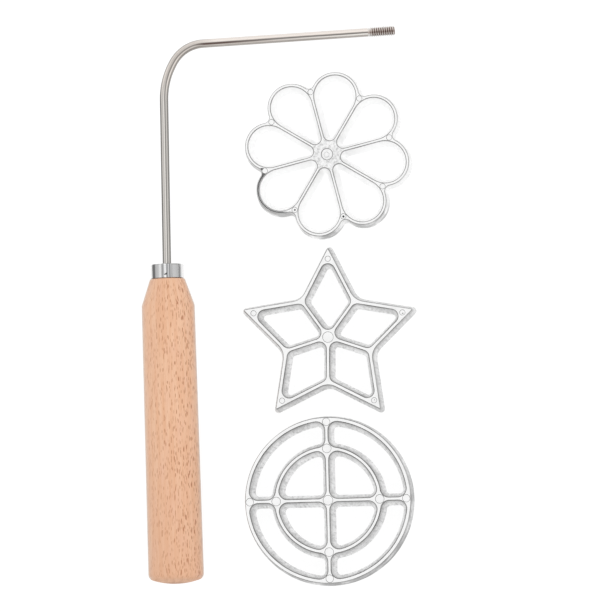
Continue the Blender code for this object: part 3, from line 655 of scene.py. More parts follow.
def drawn_steel():
    """Plated wire, drawn through a die and bent: warm grey, with scratches along it and painted reflections
    as tone bands along it, a dark brown patch on its top past the bend and a painted highlight line that
    grows towards the thread."""
    shader = Shader("plated_wire", (0.60, 0.56, 0.52), 1.0, 0.30)
    around, along, _ = shader.parts(shader.coordinates("UV"))
    waver = shader.noise((3, 28, 1), "UV", detail=2)
    around = shader.maths("ADD", around, shader.ramp(waver, 0.3, 0.7, -0.006, 0.006))
    # Painted reflections: the tone bands of each stretch of the wire.
    straight, bend, arm = (
        shader.mix(1.0, shader.curve(around, bands), warmth, "MULTIPLY")
        for bands, warmth in ((STRAIGHT_PAINTED_REFLECTIONS, (1.04, 1.0, 0.95)), (BEND_PAINTED_REFLECTIONS, (1.07, 0.99, 0.92)),
                              (ARM_PAINTED_REFLECTIONS, (1.00, 0.92, 0.86)))
    )
    tone = shader.mix(shader.ease(along, 0.109, 0.127), straight, bend)
    tone = shader.mix(shader.ease(along, 0.143, 0.158), tone, arm)
    # Painted highlight: a bright line along the arm that grows towards the thread.
    painted_highlight = shader.times(shader.ramp(around, 0.530, 0.555), shader.ramp(around, 0.615, 0.585),
                         shader.ramp(along, 0.180, 0.222, 0.0, 0.8))
    tone = shader.mix(painted_highlight, tone, (1.0, 0.97, 0.93))
    # A dark brown patch on the top of the wire past the bend.
    dark_patch = shader.times(shader.ramp(around, 0.490, 0.505), shader.ramp(around, 0.580, 0.560),
                         shader.ramp(along, 0.1445, 0.150), shader.ramp(along, 0.185, 0.160))
    tone = shader.mix(dark_patch, tone, (0.105, 0.062, 0.052))
    lines = shader.noise((260, 8, 1), "UV", roughness=0.6)
    spots = shader.noise((900, 900, 900), detail=4, roughness=0.65)
    tone = shader.tint(tone, (0.42, 0.39, 0.36), lines, 0.38, 0.68, 0.20)
    tone = shader.tint(tone, (0.30, 0.26, 0.23), spots, 0.62, 0.80, 0.35)
    return shader.finish({
        "Base Color": tone, "Roughness": shader.ramp(lines, 0.35, 0.70, 0.26, 0.38),
        "Normal": shader.bump(lines, 0.00003, 0.3)})


def thread_steel():
    """The rolled thread: painted reflections as tone bands round it, darkest along its top, grooves darker
    and browner than the crests, and dark spots of dirt.
    """
    shader = Shader("thread_wire", (0.60, 0.56, 0.52), 1.0, 0.30)
    around, ridge, _ = shader.parts(shader.coordinates("UV"))
    dirt = shader.noise((700, 700, 700))
    # Painted reflections: the crests' tone bands round the thread.
    crest = shader.curve(around, THREAD_PAINTED_REFLECTIONS)
    # The grooves are darker and browner than the crests.
    root = shader.mix(1.0, crest, (0.37, 0.29, 0.27), "MULTIPLY")
    tone = shader.mix(shader.ease(ridge, 0.10, 0.90, 1.0, 0.0), crest, root)
    tone = shader.tint(tone, (0.30, 0.24, 0.20), dirt, 0.45, 0.75, 0.4)
    return shader.finish({"Base Color": tone, "Roughness": shader.ramp(dirt, 0.35, 0.70, 0.24, 0.40)})


# Outlines of the moulds, made of arcs: (centre, radius, first angle, last angle). An arc bulges
# outwards where its angles rise, and inwards where they fall. Straight runs join the arcs.

def facet_angle(radius):
    """The angle of a facet that stands off an arc of this radius by the facet depth."""
    return min(9.0, 2 * degrees(acos(1 - FACET_DEPTH / radius)))


def samples_of(arcs):
    """Places on an outline: (arc's centre, radius, angle, +1 where it bulges outwards)."""
    samples = []
    points = []
    for centre, radius, first, last in arcs:
        sweep = last - first
        steps = max(3, ceil(abs(sweep) / facet_angle(radius)))
        for i in range(steps + 1):
            angle = first + sweep * i / steps
            point = centre + polar(radius, angle)
            if points and (point - points[-1]).length < 1e-6:
                continue
            samples.append((centre, radius, angle, 1 if sweep > 0 else -1))
            points.append(point)
    if (points[-1] - points[0]).length < 1e-6:
        samples.pop()
    return samples


def level(samples, growth, height, tilt, sense):
    """A row of points and normals at one height. The outline has grown by a distance on all sides;
    tilt is how far the surface leans up from upright, and sense is -1 for a window's wall."""
    points, normals = [], []
    for centre, radius, angle, bulge in samples:
        point = centre + polar(radius + bulge * growth, angle)
        side = polar(sense * bulge, angle)
        points.append(Vector((point.x, point.y, height)))
        normals.append(Vector((side.x * cos(radians(tilt)), side.y * cos(radians(tilt)), sin(radians(tilt)))))
    return points, normals


def wall_levels(draft, sense):
    """Rows of a drafted wall with its edges rounded: (growth, height, tilt)."""
    lean = degrees(atan(draft / MOULD_HEIGHT))
    rows = []

    def add_edge(size, middle, first, last):
        for k in range(EDGE_STEPS + 1):
            tilt = first + (last - first) * k / EDGE_STEPS
            rows.append((size * (1 - cos(radians(tilt - lean))), middle + size * sin(radians(tilt)), tilt))

    add_edge(BOTTOM_EDGE, BOTTOM_EDGE, -90.0, lean)
    rows.extend((0.0, MOULD_HEIGHT * share, lean) for share in (0.2, 0.4, 0.6, 0.8))
    add_edge(TOP_EDGE, MOULD_HEIGHT - TOP_EDGE, lean, 90.0)
    return [(sense * (draft * (1 - height / MOULD_HEIGHT) - inset), height, tilt)
            for inset, height, tilt in rows]


def spiked_outline(count, first_axis, tip, notch, side):
    """An outline of equal spikes or petals. Tip and notch are the reach and radius of their arcs, and
    side is how far a spike's arc turns to each side."""
    arcs = []
    for k in range(count):
        axis = first_axis + 360.0 / count * k
        arcs.append((polar(tip[0], axis), tip[1], axis - side, axis + side))
        arcs.append((polar(notch[0], axis + 180.0 / count), notch[1], axis + side + 180.0,
                     axis + 360.0 / count - side + 180.0))
    return arcs


def notch_centre_distance():
    """How far the centre of the arc in a notch between two petals lies from the flower's centre."""
    aside = PETAL_REACH * sin(radians(PETAL_ANGLE / 2))
    gap = sqrt((PETAL_RADIUS + FLOWER_NOTCH_RADIUS) ** 2 - aside ** 2)
    return PETAL_REACH * cos(radians(PETAL_ANGLE / 2)) + gap


def flower_outline():
    """Round petals with filleted notches between them."""
    notch = notch_centre_distance()
    to_notch = polar(notch, PETAL_ANGLE / 2) - Vector((PETAL_REACH, 0))
    side = degrees(atan2(to_notch.y, to_notch.x))
    return spiked_outline(PETAL_COUNT, 90.0 + FLOWER_TURN, (PETAL_REACH, PETAL_RADIUS),
                          (notch, FLOWER_NOTCH_RADIUS), side)


def flower_window(axis):
    """A petal's window: a wide arc, and a narrow one by the hub."""
    near_reach = FLOWER_HUB_RADIUS + FLOWER_CORNER_RADIUS
    slope = degrees(asin((FLOWER_WINDOW_RADIUS - FLOWER_CORNER_RADIUS) / (PETAL_REACH - near_reach)))
    return [
        (polar(PETAL_REACH, axis), FLOWER_WINDOW_RADIUS, axis - 90.0 - slope, axis + 90.0 + slope),
        (polar(near_reach, axis), FLOWER_CORNER_RADIUS, axis + 90.0 + slope, axis + 270.0 - slope),
    ]


def petal_mark():
    """Distance and room of a mark between two petals: the circle that just fits the junction."""
    notch_floor = notch_centre_distance() - FLOWER_NOTCH_RADIUS
    span = FLOWER_WINDOW_RADIUS + notch_floor
    distance = (span ** 2 - PETAL_REACH ** 2) / 2 / (span - PETAL_REACH * cos(radians(PETAL_ANGLE / 2)))
    return distance, notch_floor - distance


def corner_centre(first, first_distance, second, second_distance):
    """Where two lines meet, each given by the direction and the distance of its nearest point."""
    across = sin(radians(second - first))
    x = (first_distance * sin(radians(second)) - second_distance * sin(radians(first))) / across
    y = (second_distance * cos(radians(first)) - first_distance * cos(radians(second))) / across
    return Vector((x, y))


def star_outline():
    """Pointed arms with filleted notches between them."""
    point_reach = (STAR_EDGE_DISTANCE - STAR_POINT_RADIUS) / sin(radians(STAR_HALF_ANGLE))
    notch_reach = (STAR_EDGE_DISTANCE + STAR_NOTCH_RADIUS) / cos(radians(STAR_SIDE_ANGLE - STAR_ANGLE / 2))
    return spiked_outline(STAR_POINT_COUNT, 90.0 + STAR_TURN, (point_reach, STAR_POINT_RADIUS),
                          (notch_reach, STAR_NOTCH_RADIUS), STAR_SIDE_ANGLE)


def star_window(axis):
    """A kite between two ribs and the sides of a point."""
    side = STAR_SIDE_ANGLE
    rib_side = STAR_ANGLE / 2 + 90.0
    outer = STAR_EDGE_DISTANCE - STAR_WALL - STAR_CORNER_RADIUS
    inner = -STAR_RIB / 2 - STAR_CORNER_RADIUS
    tip = polar(outer / sin(radians(STAR_HALF_ANGLE)), axis)
    left = corner_centre(axis + side, outer, axis + rib_side, inner)
    hub = corner_centre(axis + rib_side, inner, axis - rib_side, inner)
    right = corner_centre(axis - side, outer, axis - rib_side, inner)
    turns = (-side, side, rib_side, 360.0 - rib_side, 360.0 - side)
    return [(centre, STAR_CORNER_RADIUS, axis + first, axis + last)
            for centre, first, last in zip((tip, left, hub, right), turns, turns[1:])]


def star_mark():
    """Distance and room of the mark in a point: the circle between its window and its two sides."""
    slope = sin(radians(STAR_HALF_ANGLE))
    window_tip = (STAR_EDGE_DISTANCE - STAR_WALL - STAR_CORNER_RADIUS) / slope + STAR_CORNER_RADIUS
    distance = (STAR_EDGE_DISTANCE + window_tip) / (1 + slope)
    return distance, distance - window_tip


def ring_corner_reach(circle_radius, sense):
    """How far along a spoke the corner between it and a circle has its centre."""
    return sqrt((circle_radius - sense * RING_CORNER_RADIUS) ** 2 - RING_CORNER_ASIDE ** 2)


def ring_window(axis, outer, inner=None):
    """A window between two spokes, out to one circle, and in to another or to the spokes' corner."""
    turn = Matrix.Rotation(radians(axis), 2)

    def corner(x, y, first, last):
        return (turn @ Vector((x, y)), RING_CORNER_RADIUS, axis + first, axis + last)

    aside = RING_CORNER_ASIDE
    reach = ring_corner_reach(outer, 1)
    skew = degrees(atan2(aside, reach))
    arcs = [
        corner(reach, aside, -90.0, skew),
        (Vector((0, 0)), outer, axis + skew, axis + 90.0 - skew),
        corner(aside, reach, 90.0 - skew, 180.0),
    ]
    if inner is None:
        return arcs + [corner(aside, aside, 180.0, 270.0)]
    reach = ring_corner_reach(inner, -1)
    skew = degrees(atan2(aside, reach))
    return arcs + [
        corner(aside, reach, 180.0, 270.0 - skew),
        (Vector((0, 0)), inner, axis + 90.0 - skew, axis + skew),
        corner(reach, aside, 180.0 + skew, 270.0),
    ]


def ring_marks():
    """Marks on the hub and at each crossing of a spoke and a ring: (centre, radius, no pit)."""
    hub_room = sqrt(2) * RING_CORNER_ASIDE - RING_CORNER_RADIUS
    low_reach = ring_corner_reach(RING_INNER_RADIUS + RING_RIB / 2, -1)
    inner_room = sqrt((low_reach - RING_INNER_RADIUS) ** 2 + RING_CORNER_ASIDE ** 2) - RING_CORNER_RADIUS
    reach = ring_corner_reach(RING_RADIUS - RING_WALL, 1)
    span = RING_RADIUS + RING_CORNER_RADIUS
    outer_distance = (span ** 2 - reach ** 2 - RING_CORNER_ASIDE ** 2) / 2 / (span - reach)
    marks = [(Vector((0, 0)), hub_room * JUNCTION_MARK_SHARE, None)]
    for distance, room in ((RING_INNER_RADIUS, inner_room), (outer_distance, RING_RADIUS - outer_distance)):
        marks += marks_round(4, RING_TURN, distance, room * JUNCTION_MARK_SHARE, {})
    return marks


def marks_round(count, first, distance, radius, pits):
    """Marks at equal angles round a mould's centre: (centre, radius, pit or None)."""
    return [(polar(distance, first + 360.0 / count * k), radius, pits.get(k)) for k in range(count)]


# Moulds

FACE, WALL, GROOVE, EDGE, OUTER, RIM = 0, 1, 2, 3, 4, 5
UP = Vector((0, 0, 1))


def fill(skin, rows, finish, upwards=True):
    """Fills the flat face between an outer row and the rows inside it."""
    corners = [number for row in rows for number in row]
    flat = [[Vector((skin.points[number].x, skin.points[number].y, 0)) for number in row] for row in rows]
    for triangle in tessellate_polygon(flat):
        first, second, third = (skin.points[corners[i]] for i in triangle)
        turn = (second.x - first.x) * (third.y - first.y) - (second.y - first.y) * (third.x - first.x)
        order = triangle if (turn > 0) == upwards else tuple(reversed(triangle))
        skin.add_face([corners[i] for i in order], finish)


def add_wall(skin, arcs, draft, sense):
    """Adds the wall of an outline or of a window, and returns its lowest and highest rows."""
    samples = samples_of(arcs)
    levels = wall_levels(draft, sense)
    rows = [skin.add_loop(*level(samples, *measures, sense)) for measures in levels]
    for low, high, (_, height, tilt) in zip(rows, rows[1:], levels):
        finish = OUTER if sense > 0 else WALL
        # The rounded top edges take the edge and rim finishes, which are painted shade.
        if height > MOULD_HEIGHT - 1.1 * TOP_EDGE:
            finish = RIM if sense > 0 else EDGE
            if tilt > EDGE_LAST_TILT:
                finish = FACE
        first, second = (low, high) if sense > 0 else (high, low)
        skin.join_loops(first, second, finish)
    return rows[0], rows[-1]


def add_rings(skin, centre, radius, rows, segments, finishes):
    """Adds the rows of a round mark, joined by bands with the given finishes, and returns the first and
    the last of them."""
    loops = []
    for out, height, lean_in, lean_up in rows:
        points = circle(radius + out, height, segments, centre)
        inwards = [Vector((centre[0] - point.x, centre[1] - point.y, 0)).normalized() for point in points]
        loops.append(skin.add_loop(points, [inward * lean_in + UP * lean_up for inward in inwards]))
    for outer, inner, finish in zip(loops, loops[1:], finishes):
        skin.join_loops(outer, inner, finish)
    return loops[0], loops[-1]


def add_mark(skin, centre, radius, pit):
    """Adds the round print of an ejector pin, and returns its rim in the face."""
    # The print's sloped sides take the groove finish, painted shade.
    rim, bottom = add_rings(skin, centre, radius, MARK_ROWS, MARK_SEGMENTS, [GROOVE] * 4)
    rows = [bottom]
    if pit:
        offset, size = pit
        hole = (centre[0] + offset[0], centre[1] + offset[1])
        pit_rows = ((0.0, MARK_FLOOR, 0.0, 1.0), (-size * 0.28, MARK_FLOOR - size * 0.8, 0.9, 0.3))
        # The pit takes the edge finish, painted shade.
        lip, deep = add_rings(skin, hole, size, pit_rows, PIT_SEGMENTS, [EDGE])
        skin.add_face(deep, EDGE)
        rows.append(lip)
    fill(skin, rows, FACE)
    return rim


def add_centre_mark(skin):
    """Adds the flower's centre mark: a sunk disc with a small raised one in it."""
    centre, segments = (0, 0), CENTRE_MARK_SEGMENTS
    # The sloped sides take the groove finish, painted shade.
    rim, bottom = add_rings(skin, centre, FLOWER_CENTRE_MARK_RADIUS, CENTRE_MARK_ROWS, segments, [GROOVE] * 3)
    foot, crown = add_rings(skin, BUTTON_PLACE, BUTTON_RADIUS, BUTTON_ROWS, segments, [GROOVE, FACE])
    fill(skin, [crown], FACE)
    fill(skin, [bottom, foot], FACE)
    return rim


def ridge_share(turns):
    """Height of the rolled thread over its root, from 0 to 1, at a number of turns past a crest."""
    away = abs(turns - floor(turns + 0.5)) * 2
    return 1 - smooth(THREAD_CREST_SHARE, THREAD_ROOT_SHARE, away)


def thread_radius(ridge):
    """The thread's radius where its ridge has this height, from 0 to 1."""
    return THREAD_ROOT_RADIUS + (THREAD_RADIUS - THREAD_ROOT_RADIUS) * ridge


def add_tapped_hole(skin):
    """Adds the tapped hole in the wide face, and returns its rim."""
    rows = [circle(THREAD_RADIUS + TAPPED_CLEARANCE + wider, depth, TAPPED_SEGMENTS)
            for wider, depth in TAPPED_MOUTH]
    count = ceil((TAPPED_DEPTH - TAPPED_START) / THREAD_PITCH * TAPPED_RINGS_PER_PITCH)
    for k in range(count + 1):
        height = TAPPED_START + (TAPPED_DEPTH - TAPPED_START) * k / count
        row = []
        for i in range(TAPPED_SEGMENTS):
            share = i / TAPPED_SEGMENTS
            radius = thread_radius(ridge_share(height / THREAD_PITCH - share)) + TAPPED_CLEARANCE
            row.append(Vector((*polar(radius, 360.0 * share), height)))
        rows.append(row)
    rows += [circle(radius, TAPPED_DEPTH + beyond, TAPPED_SEGMENTS) for radius, beyond in TAPPED_END]
    loops = [skin.add_loop(rows[0], [-UP] * TAPPED_SEGMENTS)] + [skin.add_loop(row) for row in rows[1:]]
    for low, high in zip(loops, loops[1:]):
        skin.join_loops(high, low, WALL)
    skin.add_face(tuple(reversed(loops[-1])), WALL)
    return loops[0]


def make_mould(name, place, outline, windows, marks, drafts, materials, centre_mark=False):
    """Makes a mould: walls with rounded edges, the flat faces between them, marks and tapped hole."""
    skin = Skin()
    walls = [add_wall(skin, outline, drafts[0], 1)]
    walls += [add_wall(skin, window, drafts[1], -1) for window in windows]
    lows, highs = (list(rows) for rows in zip(*walls))
    highs += [add_mark(skin, *mark) for mark in marks]
    if centre_mark:
        highs.append(add_centre_mark(skin))
    lows.append(add_tapped_hole(skin))
    fill(skin, highs, FACE)
    fill(skin, lows, FACE, upwards=False)
    mould = skin.make(name + "_casting", materials)
    mould.location = place
    return mould


def make_flower(materials):
    """The flower mould, with a mark in each notch and a ringed one on its hub."""
    axes = [90.0 + FLOWER_TURN + PETAL_ANGLE * k for k in range(PETAL_COUNT)]
    distance, room = petal_mark()
    marks = marks_round(PETAL_COUNT, axes[0] + PETAL_ANGLE / 2, distance, room * PETAL_MARK_SHARE,
                        FLOWER_PITS)
    return make_mould("flower_mould", FLOWER_PLACE, flower_outline(), [flower_window(axis) for axis in axes],
                      marks, FLOWER_DRAFTS, materials, centre_mark=True)


def make_star(materials):
    """The star mould, with a mark in each point and one on its hub."""
    axes = [90.0 + STAR_TURN + STAR_ANGLE * k for k in range(STAR_POINT_COUNT)]
    distance, room = star_mark()
    marks = marks_round(STAR_POINT_COUNT, axes[0], distance, room * STAR_MARK_SHARE, STAR_PITS)
    marks.append((Vector((0, 0)), STAR_CENTRE_MARK_RADIUS, None))
    return make_mould("star_mould", STAR_PLACE, star_outline(), [star_window(axis) for axis in axes],
                      marks, STAR_DRAFTS, materials)


def make_ring(materials):
    """The ring mould: two rings and a cross, with a mark at each crossing."""
    windows = []
    for k in range(4):
        axis = RING_TURN + 90.0 * k
        windows.append(ring_window(axis, RING_INNER_RADIUS - RING_RIB / 2))
        windows.append(ring_window(axis, RING_RADIUS - RING_WALL, RING_INNER_RADIUS + RING_RIB / 2))
    outline = [(Vector((0, 0)), RING_RADIUS, 0.0, 360.0)]
    return make_mould("ring_mould", RING_PLACE, outline, windows, ring_marks(), RING_DRAFTS, materials)


# Rod

def rod_path():
    """Stations of the rod's plain part: (centre, heading, distance from the tang's end)."""
    heading = 90.0 - ROD_LEAN
    stations = [(polar(-ROD_TANG_LENGTH, heading), heading, 0.0)]
    for length, radius, angle in (
        (ROD_TANG_LENGTH + ROD_STRAIGHT_LENGTH, None, 0.0),
        (radians(BEND_WIDE_ANGLE) * BEND_WIDE_RADIUS, BEND_WIDE_RADIUS, BEND_WIDE_ANGLE),
        (radians(BEND_TIGHT_ANGLE) * BEND_TIGHT_RADIUS, BEND_TIGHT_RADIUS, BEND_TIGHT_ANGLE),
        (ARM_LENGTH - THREAD_LENGTH, None, 0.0),
    ):
        start, heading, along = stations[-1]
        count = ceil(angle / BEND_STEP) if radius else ceil(length / STRAIGHT_STEP)
        for i in range(1, count + 1):
            turned = heading - angle * i / count
            if radius:
                point = start + polar(radius, heading - 90.0) + polar(radius, turned + 90.0)
            else:
                point = start + polar(length * i / count, heading)
            stations.append((point, turned, along + length * i / count))
    return stations


def rod_row(centre, heading, radii):
    """A ring of points square to the rod, from the side that lies on the table."""
    along = polar(1, heading)
    across = Vector((along.y, 0, -along.x))
    side = Vector((0, 1, 0))
    middle = Vector((centre.x, 0, centre.y))
    row = []
    for i, radius in enumerate(radii):
        angle = radians(90.0 + 360.0 * i / ROD_SEGMENTS)
        row.append(middle + (across * cos(angle) + side * sin(angle)) * radius)
    return row


def make_rod(matrix, materials):
    """The bent rod with its rolled thread. The second surface coordinate is the distance along the
    plain part, and the height of the ridges on the thread, 1 at a crest."""
    skin = Skin()
    stations = rod_path()
    centre, heading, _ = stations[0]
    end_radii = [ROD_RADIUS - ROD_END_CHAMFER] * ROD_SEGMENTS
    rows = [(skin.add_loop(rod_row(centre, heading, end_radii)), 0.0)]
    stations[0] = (centre + polar(ROD_END_CHAMFER, heading), heading, ROD_END_CHAMFER)
    for centre, heading, along in stations:
        rows.append((skin.add_loop(rod_row(centre, heading, [ROD_RADIUS] * ROD_SEGMENTS)), along))
    skin.add_face(tuple(reversed(rows[0][0])))
    for (low, below), (high, above) in zip(rows, rows[1:]):
        skin.join_loops(low, high, 0, (below, above))

    start, heading, _ = stations[-1]
    count = ceil(THREAD_LENGTH / THREAD_PITCH * RINGS_PER_PITCH)
    low, below = rows[-1][0], 1.0
    for k in range(1, count + 1):
        distance = THREAD_LENGTH * k / count
        begun = smooth(0.0, THREAD_RUN_OUT, distance)
        # How far the grooves' darker tone has faded in.
        groove_tone = smooth(0.0, THREAD_TONE_RUN_OUT, distance)
        tip_limit = THREAD_RADIUS - THREAD_TIP_CHAMFER + THREAD_LENGTH - distance
        ridges = [ridge_share(distance / THREAD_PITCH - 0.25 - i / ROD_SEGMENTS) for i in range(ROD_SEGMENTS)]
        radii = [min(ROD_RADIUS + (thread_radius(ridge) - ROD_RADIUS) * begun, tip_limit) for ridge in ridges]
        high = skin.add_loop(rod_row(start + polar(distance, heading), heading, radii))
        above = [1.0 + (ridge - 1.0) * groove_tone for ridge in ridges]
        skin.join_loops(low, high, 1, (below, above))
        low, below = high, above
    skin.add_face(tuple(low), 1, [(0.5, 0.7)] * ROD_SEGMENTS)
    return skin.make("bent_rod_wire", materials, matrix)


# Ferrule

def crimp_press(angle, height):
    """How far the crimp presses the ferrule's wall in at a place, and whether that is in its slit."""
    turn = (angle - (270.0 - CRIMP_TURN) + 180.0) % 360.0 - 180.0
    across = radians(turn) * FERRULE_RADIUS
    beyond = max(0.0, abs(height + FERRULE_HEIGHT / 2) - (CRIMP_LENGTH / 2 - CRIMP_HALF_WIDTH))
    distance = sqrt(across ** 2 + beyond ** 2)
    inside = 1 - smooth(CRIMP_HALF_WIDTH - CRIMP_EDGE, CRIMP_HALF_WIDTH, distance)
    vee = 1 - CRIMP_RISE * min(1.0, abs(across - CRIMP_DEEPEST) / CRIMP_HALF_WIDTH)
    press = CRIMP_DEPTH * inside * vee
    rise = (height - SLIT_BOTTOM) / SLIT_HEIGHT
    if 0 <= rise <= 1 and SLIT_RIGHT - SLIT_WIDTH * (1 - rise) < across < SLIT_RIGHT:
        return press + SLIT_DEPTH, True
    return press, False


def make_ferrule(matrix, materials):
    """The ferrule: a drawn cup with a lip round the rod and one crimp."""
    hole = ROD_RADIUS + CLEARANCE
    lip = hole + FERRULE_LIP_WIDTH
    bore = FERRULE_RADIUS - FERRULE_WALL
    outline = [
        (bore, -FERRULE_HEIGHT), (FERRULE_RADIUS, -FERRULE_HEIGHT), (FERRULE_RADIUS, 0),
        (lip + FERRULE_LIP_FLARE, 0), (lip, FERRULE_LIP_HEIGHT), (hole, FERRULE_LIP_HEIGHT),
        (hole, -FERRULE_WALL), (bore, -FERRULE_WALL), (bore, -FERRULE_HEIGHT),
    ]
    profile = divided(rounded(outline, FERRULE_ROUNDINGS), FERRULE_STEP)[:-1]
    skin = Skin()
    rows = []
    slit = set()
    for number, (radius, height) in enumerate(profile):
        row = []
        for i in range(FERRULE_SEGMENTS):
            angle = 360.0 * i / FERRULE_SEGMENTS
            press = 0.0
            if radius > bore + FERRULE_WALL / 2:
                press, in_slit = crimp_press(angle, height)
                if in_slit:
                    slit.add((number, i))
            row.append(Vector((*polar(radius - press, angle), height)))
        rows.append(skin.add_loop(row))
    for number, row in enumerate(rows):
        # Faces in the slit take the second, near-black material: painted shade.
        def finish(i, number=number):
            return 1 if (number, i) in slit else 0

        skin.join_loops(row, rows[(number + 1) % len(rows)], finish)
    return skin.make("ferrule_cup", materials, matrix)


# Handle

def handle_profile():
    """The handle's outer profile, from its domed end to the rim of its bore: (radius, height)."""
    edge_aside = HANDLE_END_RADIUS - HANDLE_END_ROUND
    inwards = HANDLE_DOME_RADIUS - HANDLE_END_ROUND
    spread = degrees(asin(edge_aside / inwards))
    dome_centre = HANDLE_BOTTOM + HANDLE_DOME_RADIUS
    edge_centre = dome_centre - inwards * cos(radians(spread))
    profile = []
    for aside, middle, radius, first, last, steps in (
        (0.0, dome_centre, HANDLE_DOME_RADIUS, -90.0, spread - 90.0, DOME_STEPS),
        (edge_aside, edge_centre, HANDLE_END_ROUND, spread - 90.0, 0.0, END_ROUND_STEPS),
    ):
        for k in range(1, steps + 1):
            point = polar(radius, first + (last - first) * k / steps)
            profile.append((aside + point.x, middle + point.y))
    shoulder = len(profile)
    profile += [(HANDLE_SHOULDER_RADIUS, HANDLE_SHOULDER), (HANDLE_NECK_RADIUS, HANDLE_TOP),
                (SPIGOT_RADIUS, HANDLE_TOP), (SPIGOT_RADIUS, SPIGOT_TOP),
                (BORE_RADIUS + BORE_CHAMFER, SPIGOT_TOP)]
    profile = rounded(profile, {shoulder: HANDLE_SHOULDER_ROUND, shoulder + 1: HANDLE_NECK_ROUND})
    return divided(profile, HANDLE_STEP)


def make_handle(matrix, materials):
    """The turned handle, with its spigot and the blind bore for the rod's tang. The second surface
    coordinate is the height."""
    skin = Skin()
    rows = [(skin.add_loop(circle(radius, height, HANDLE_SEGMENTS, start=SEAM)), height)
            for radius, height in handle_profile()]
    for height in BORE_HEIGHTS:
        centre = (height * tan(radians(ROD_LEAN)), 0.0)
        rows.append((skin.add_loop(circle(BORE_RADIUS, height, HANDLE_SEGMENTS, centre, SEAM)), height))
    for (low, below), (high, above) in zip(rows, rows[1:]):
        skin.join_loops(low, high, 1 if above < END_GRAIN_TOP else 0, (below, above))
    skin.add_face(tuple(reversed(rows[0][0])), 1, [(0.5, HANDLE_BOTTOM)] * HANDLE_SEGMENTS)
    skin.add_face(tuple(rows[-1][0]))
    return skin.make("handle_turning", materials, matrix)


# Table, light and camera

def make_table():
    """A plain pale table top, large enough to fill every view. It bounces light as a pale floor does,
    and looks whiter than that to the camera and in metal, where it still takes the object's shadow."""
    shader = Shader("table_top", grey(TABLE_BOUNCE_TONE), 0.0, 0.9)
    rays = shader.node("ShaderNodeLightPath", {}).outputs
    seen = shader.maths("MAXIMUM", rays["Is Camera Ray"], rays["Is Glossy Ray"])
    seen = shader.maths("MAXIMUM", seen, rays["Is Transmission Ray"])
    material = shader.finish({
        "Base Color": shader.mix(seen, grey(TABLE_BOUNCE_TONE), grey(TABLE_SEEN_TONE)),
        "Specular IOR Level": 0.0, "Emission Color": (1.0, 1.0, 1.0, 1.0),
        "Emission Strength": shader.times(seen, TABLE_GLOW)})
    data = bpy.data.meshes.new("table_top")
    corners = [(x * TABLE_REACH, y * TABLE_REACH, 0.0) for x, y in ((-1, -1), (1, -1), (1, 1), (-1, 1))]
    data.from_pydata(corners, [], [(0, 1, 2, 3)])
    data.materials.append(material)
    table = add_object("table_top", data)
    table.location = (0, 0, -TABLE_DROP)


def make_world():
    """A soft, nearly even room, a little brighter overhead, and plain white behind the object."""
    world = bpy.data.worlds.new("studio")
    bpy.context.scene.world = world
    world.use_nodes = True
    nodes = Nodes(world.node_tree)
    nodes.tree.nodes.clear()
    height = nodes.parts(nodes.coordinates("Generated"))["Z"]
    room = nodes.node("ShaderNodeBackground", {
        "Color": nodes.curve(height, ROOM_TONES, "LINEAR"), "Strength": ROOM_STRENGTH})
    white = nodes.node("ShaderNodeBackground", {"Color": (1.0, 1.0, 1.0, 1.0), "Strength": 1.0})
    rays = nodes.node("ShaderNodeLightPath", {})
    mixed = nodes.node("ShaderNodeMixShader", {
        "Fac": rays.outputs["Is Camera Ray"], 1: room.outputs["Background"], 2: white.outputs["Background"]})
    nodes.node("ShaderNodeOutputWorld", {"Surface": mixed.outputs["Shader"]})


def make_lamp(name, place, size, power):
    """A soft square lamp that faces the middle of the set."""
    data = bpy.data.lights.new(name, "AREA")
    data.shape = "SQUARE"
    data.size = size
    data.energy = power
    lamp = add_object(name, data)
    lamp.location = place
    lamp.rotation_mode = "QUATERNION"
    lamp.rotation_quaternion = (-Vector(place)).to_track_quat("-Z", "Y")


def make_camera():
    """The camera at the photograph's viewing angle."""
    data = bpy.data.cameras.new("camera")
    data.sensor_fit = "HORIZONTAL"
    data.sensor_width = 36.0
    data.lens = data.sensor_width * VIEW_DISTANCE / VIEW_WIDTH
    data.clip_start = 0.1
    data.clip_end = 200.0
    camera = add_object("camera", data)
    back = Vector((VIEW_SLOPE_X, VIEW_SLOPE_Y, 1.0)).normalized()
    right = Vector((0, 1, 0)).cross(back).normalized()
    rotation = Matrix((right, back.cross(right), back)).transposed()
    camera.matrix_world = Matrix.Translation(VIEW_TARGET + back * VIEW_DISTANCE) @ rotation.to_4x4()
    bpy.context.scene.camera = camera


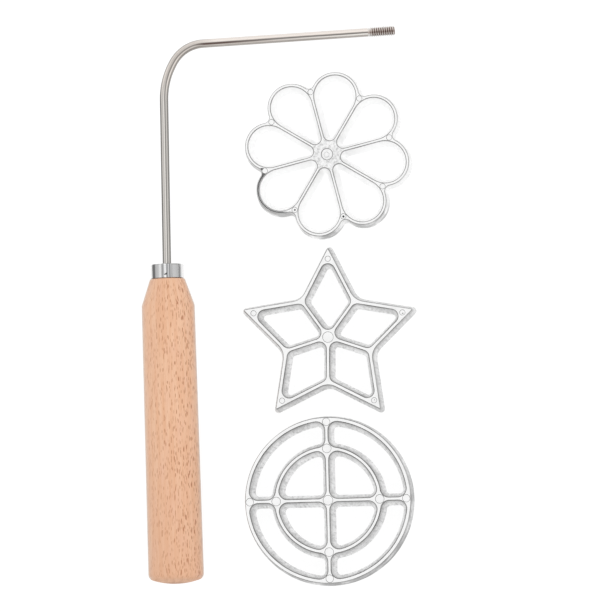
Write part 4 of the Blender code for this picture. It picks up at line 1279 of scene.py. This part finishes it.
def main():
    """Makes the pieces, ties each to its node, and sets the stage."""
    face = cast_face("casting_face", 0.985, 0.30)
    hub_face = cast_face("casting_hub_face", 0.985, 0.32, hub=True)
    # The wall finishes carry painted shade: a dark line under the face, a darker upper part, and blotches on
    # one side of the ring's and the flower's outer walls.
    wall = cast_wall("casting_wall", 0.90, 0.95, contrast=1.15)
    pale_wall = cast_wall("casting_pale_wall", 1.0, 0.5, contrast=0.06)
    outer = cast_wall("casting_outer_wall", 0.78, 0.95, contrast=1.2)
    streaky = cast_wall("casting_streaky_wall", 0.76, 0.95, contrast=1.2, painted_shade_patches=0.9, lean=-0.6)
    patchy = cast_wall("casting_patchy_wall", 0.96, 0.6, contrast=0.35, painted_shade_patches=0.75)
    # Painted shade: the edge, rim and groove finishes darken the rounded edges and the marks' sloped sides.
    edge = painted_shade_edge("casting_edge_painted_shade", grey(0.72), 0.62, 1.0)
    rim = painted_shade_edge("casting_rim_painted_shade", grey(0.70), 0.35, 0.8)
    groove = painted_shade_edge("casting_groove_painted_shade", (0.34, 0.34, 0.345), 0.3, 1.0)
    # The slit's near-black material is painted shade in the crimp's slit.
    slit = Shader("slit", grey(0.06), 0.0, 0.7).material

    for piece, node, body, slot in (
        (make_handle(ASSEMBLY, [beech("beech", 1.0), beech("beech_end", 0.0)]),
         "handle", "handle_assembly", "wood"),
        (make_ferrule(ASSEMBLY, [chrome(), slit]), "ferrule", "handle_assembly", "chrome"),
        (make_rod(ASSEMBLY, [drawn_steel(), thread_steel()]), "bent_rod", "handle_assembly", "steel"),
        (make_flower([hub_face, pale_wall, groove, edge, patchy, rim]),
         "flower_mould", "flower_mould", "cast_aluminium"),
        (make_star([face, wall, groove, edge, outer, rim]), "star_mould", "star_mould", "cast_aluminium"),
        (make_ring([face, wall, groove, edge, streaky, rim]), "ring_mould", "ring_mould", "cast_aluminium"),
    ):
        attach(piece, body)
        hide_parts(node)

    make_table()
    make_world()
    for lamp in LAMPS:
        make_lamp(*lamp)
    make_camera()
    bpy.context.scene.view_settings.view_transform = "Standard"


main()
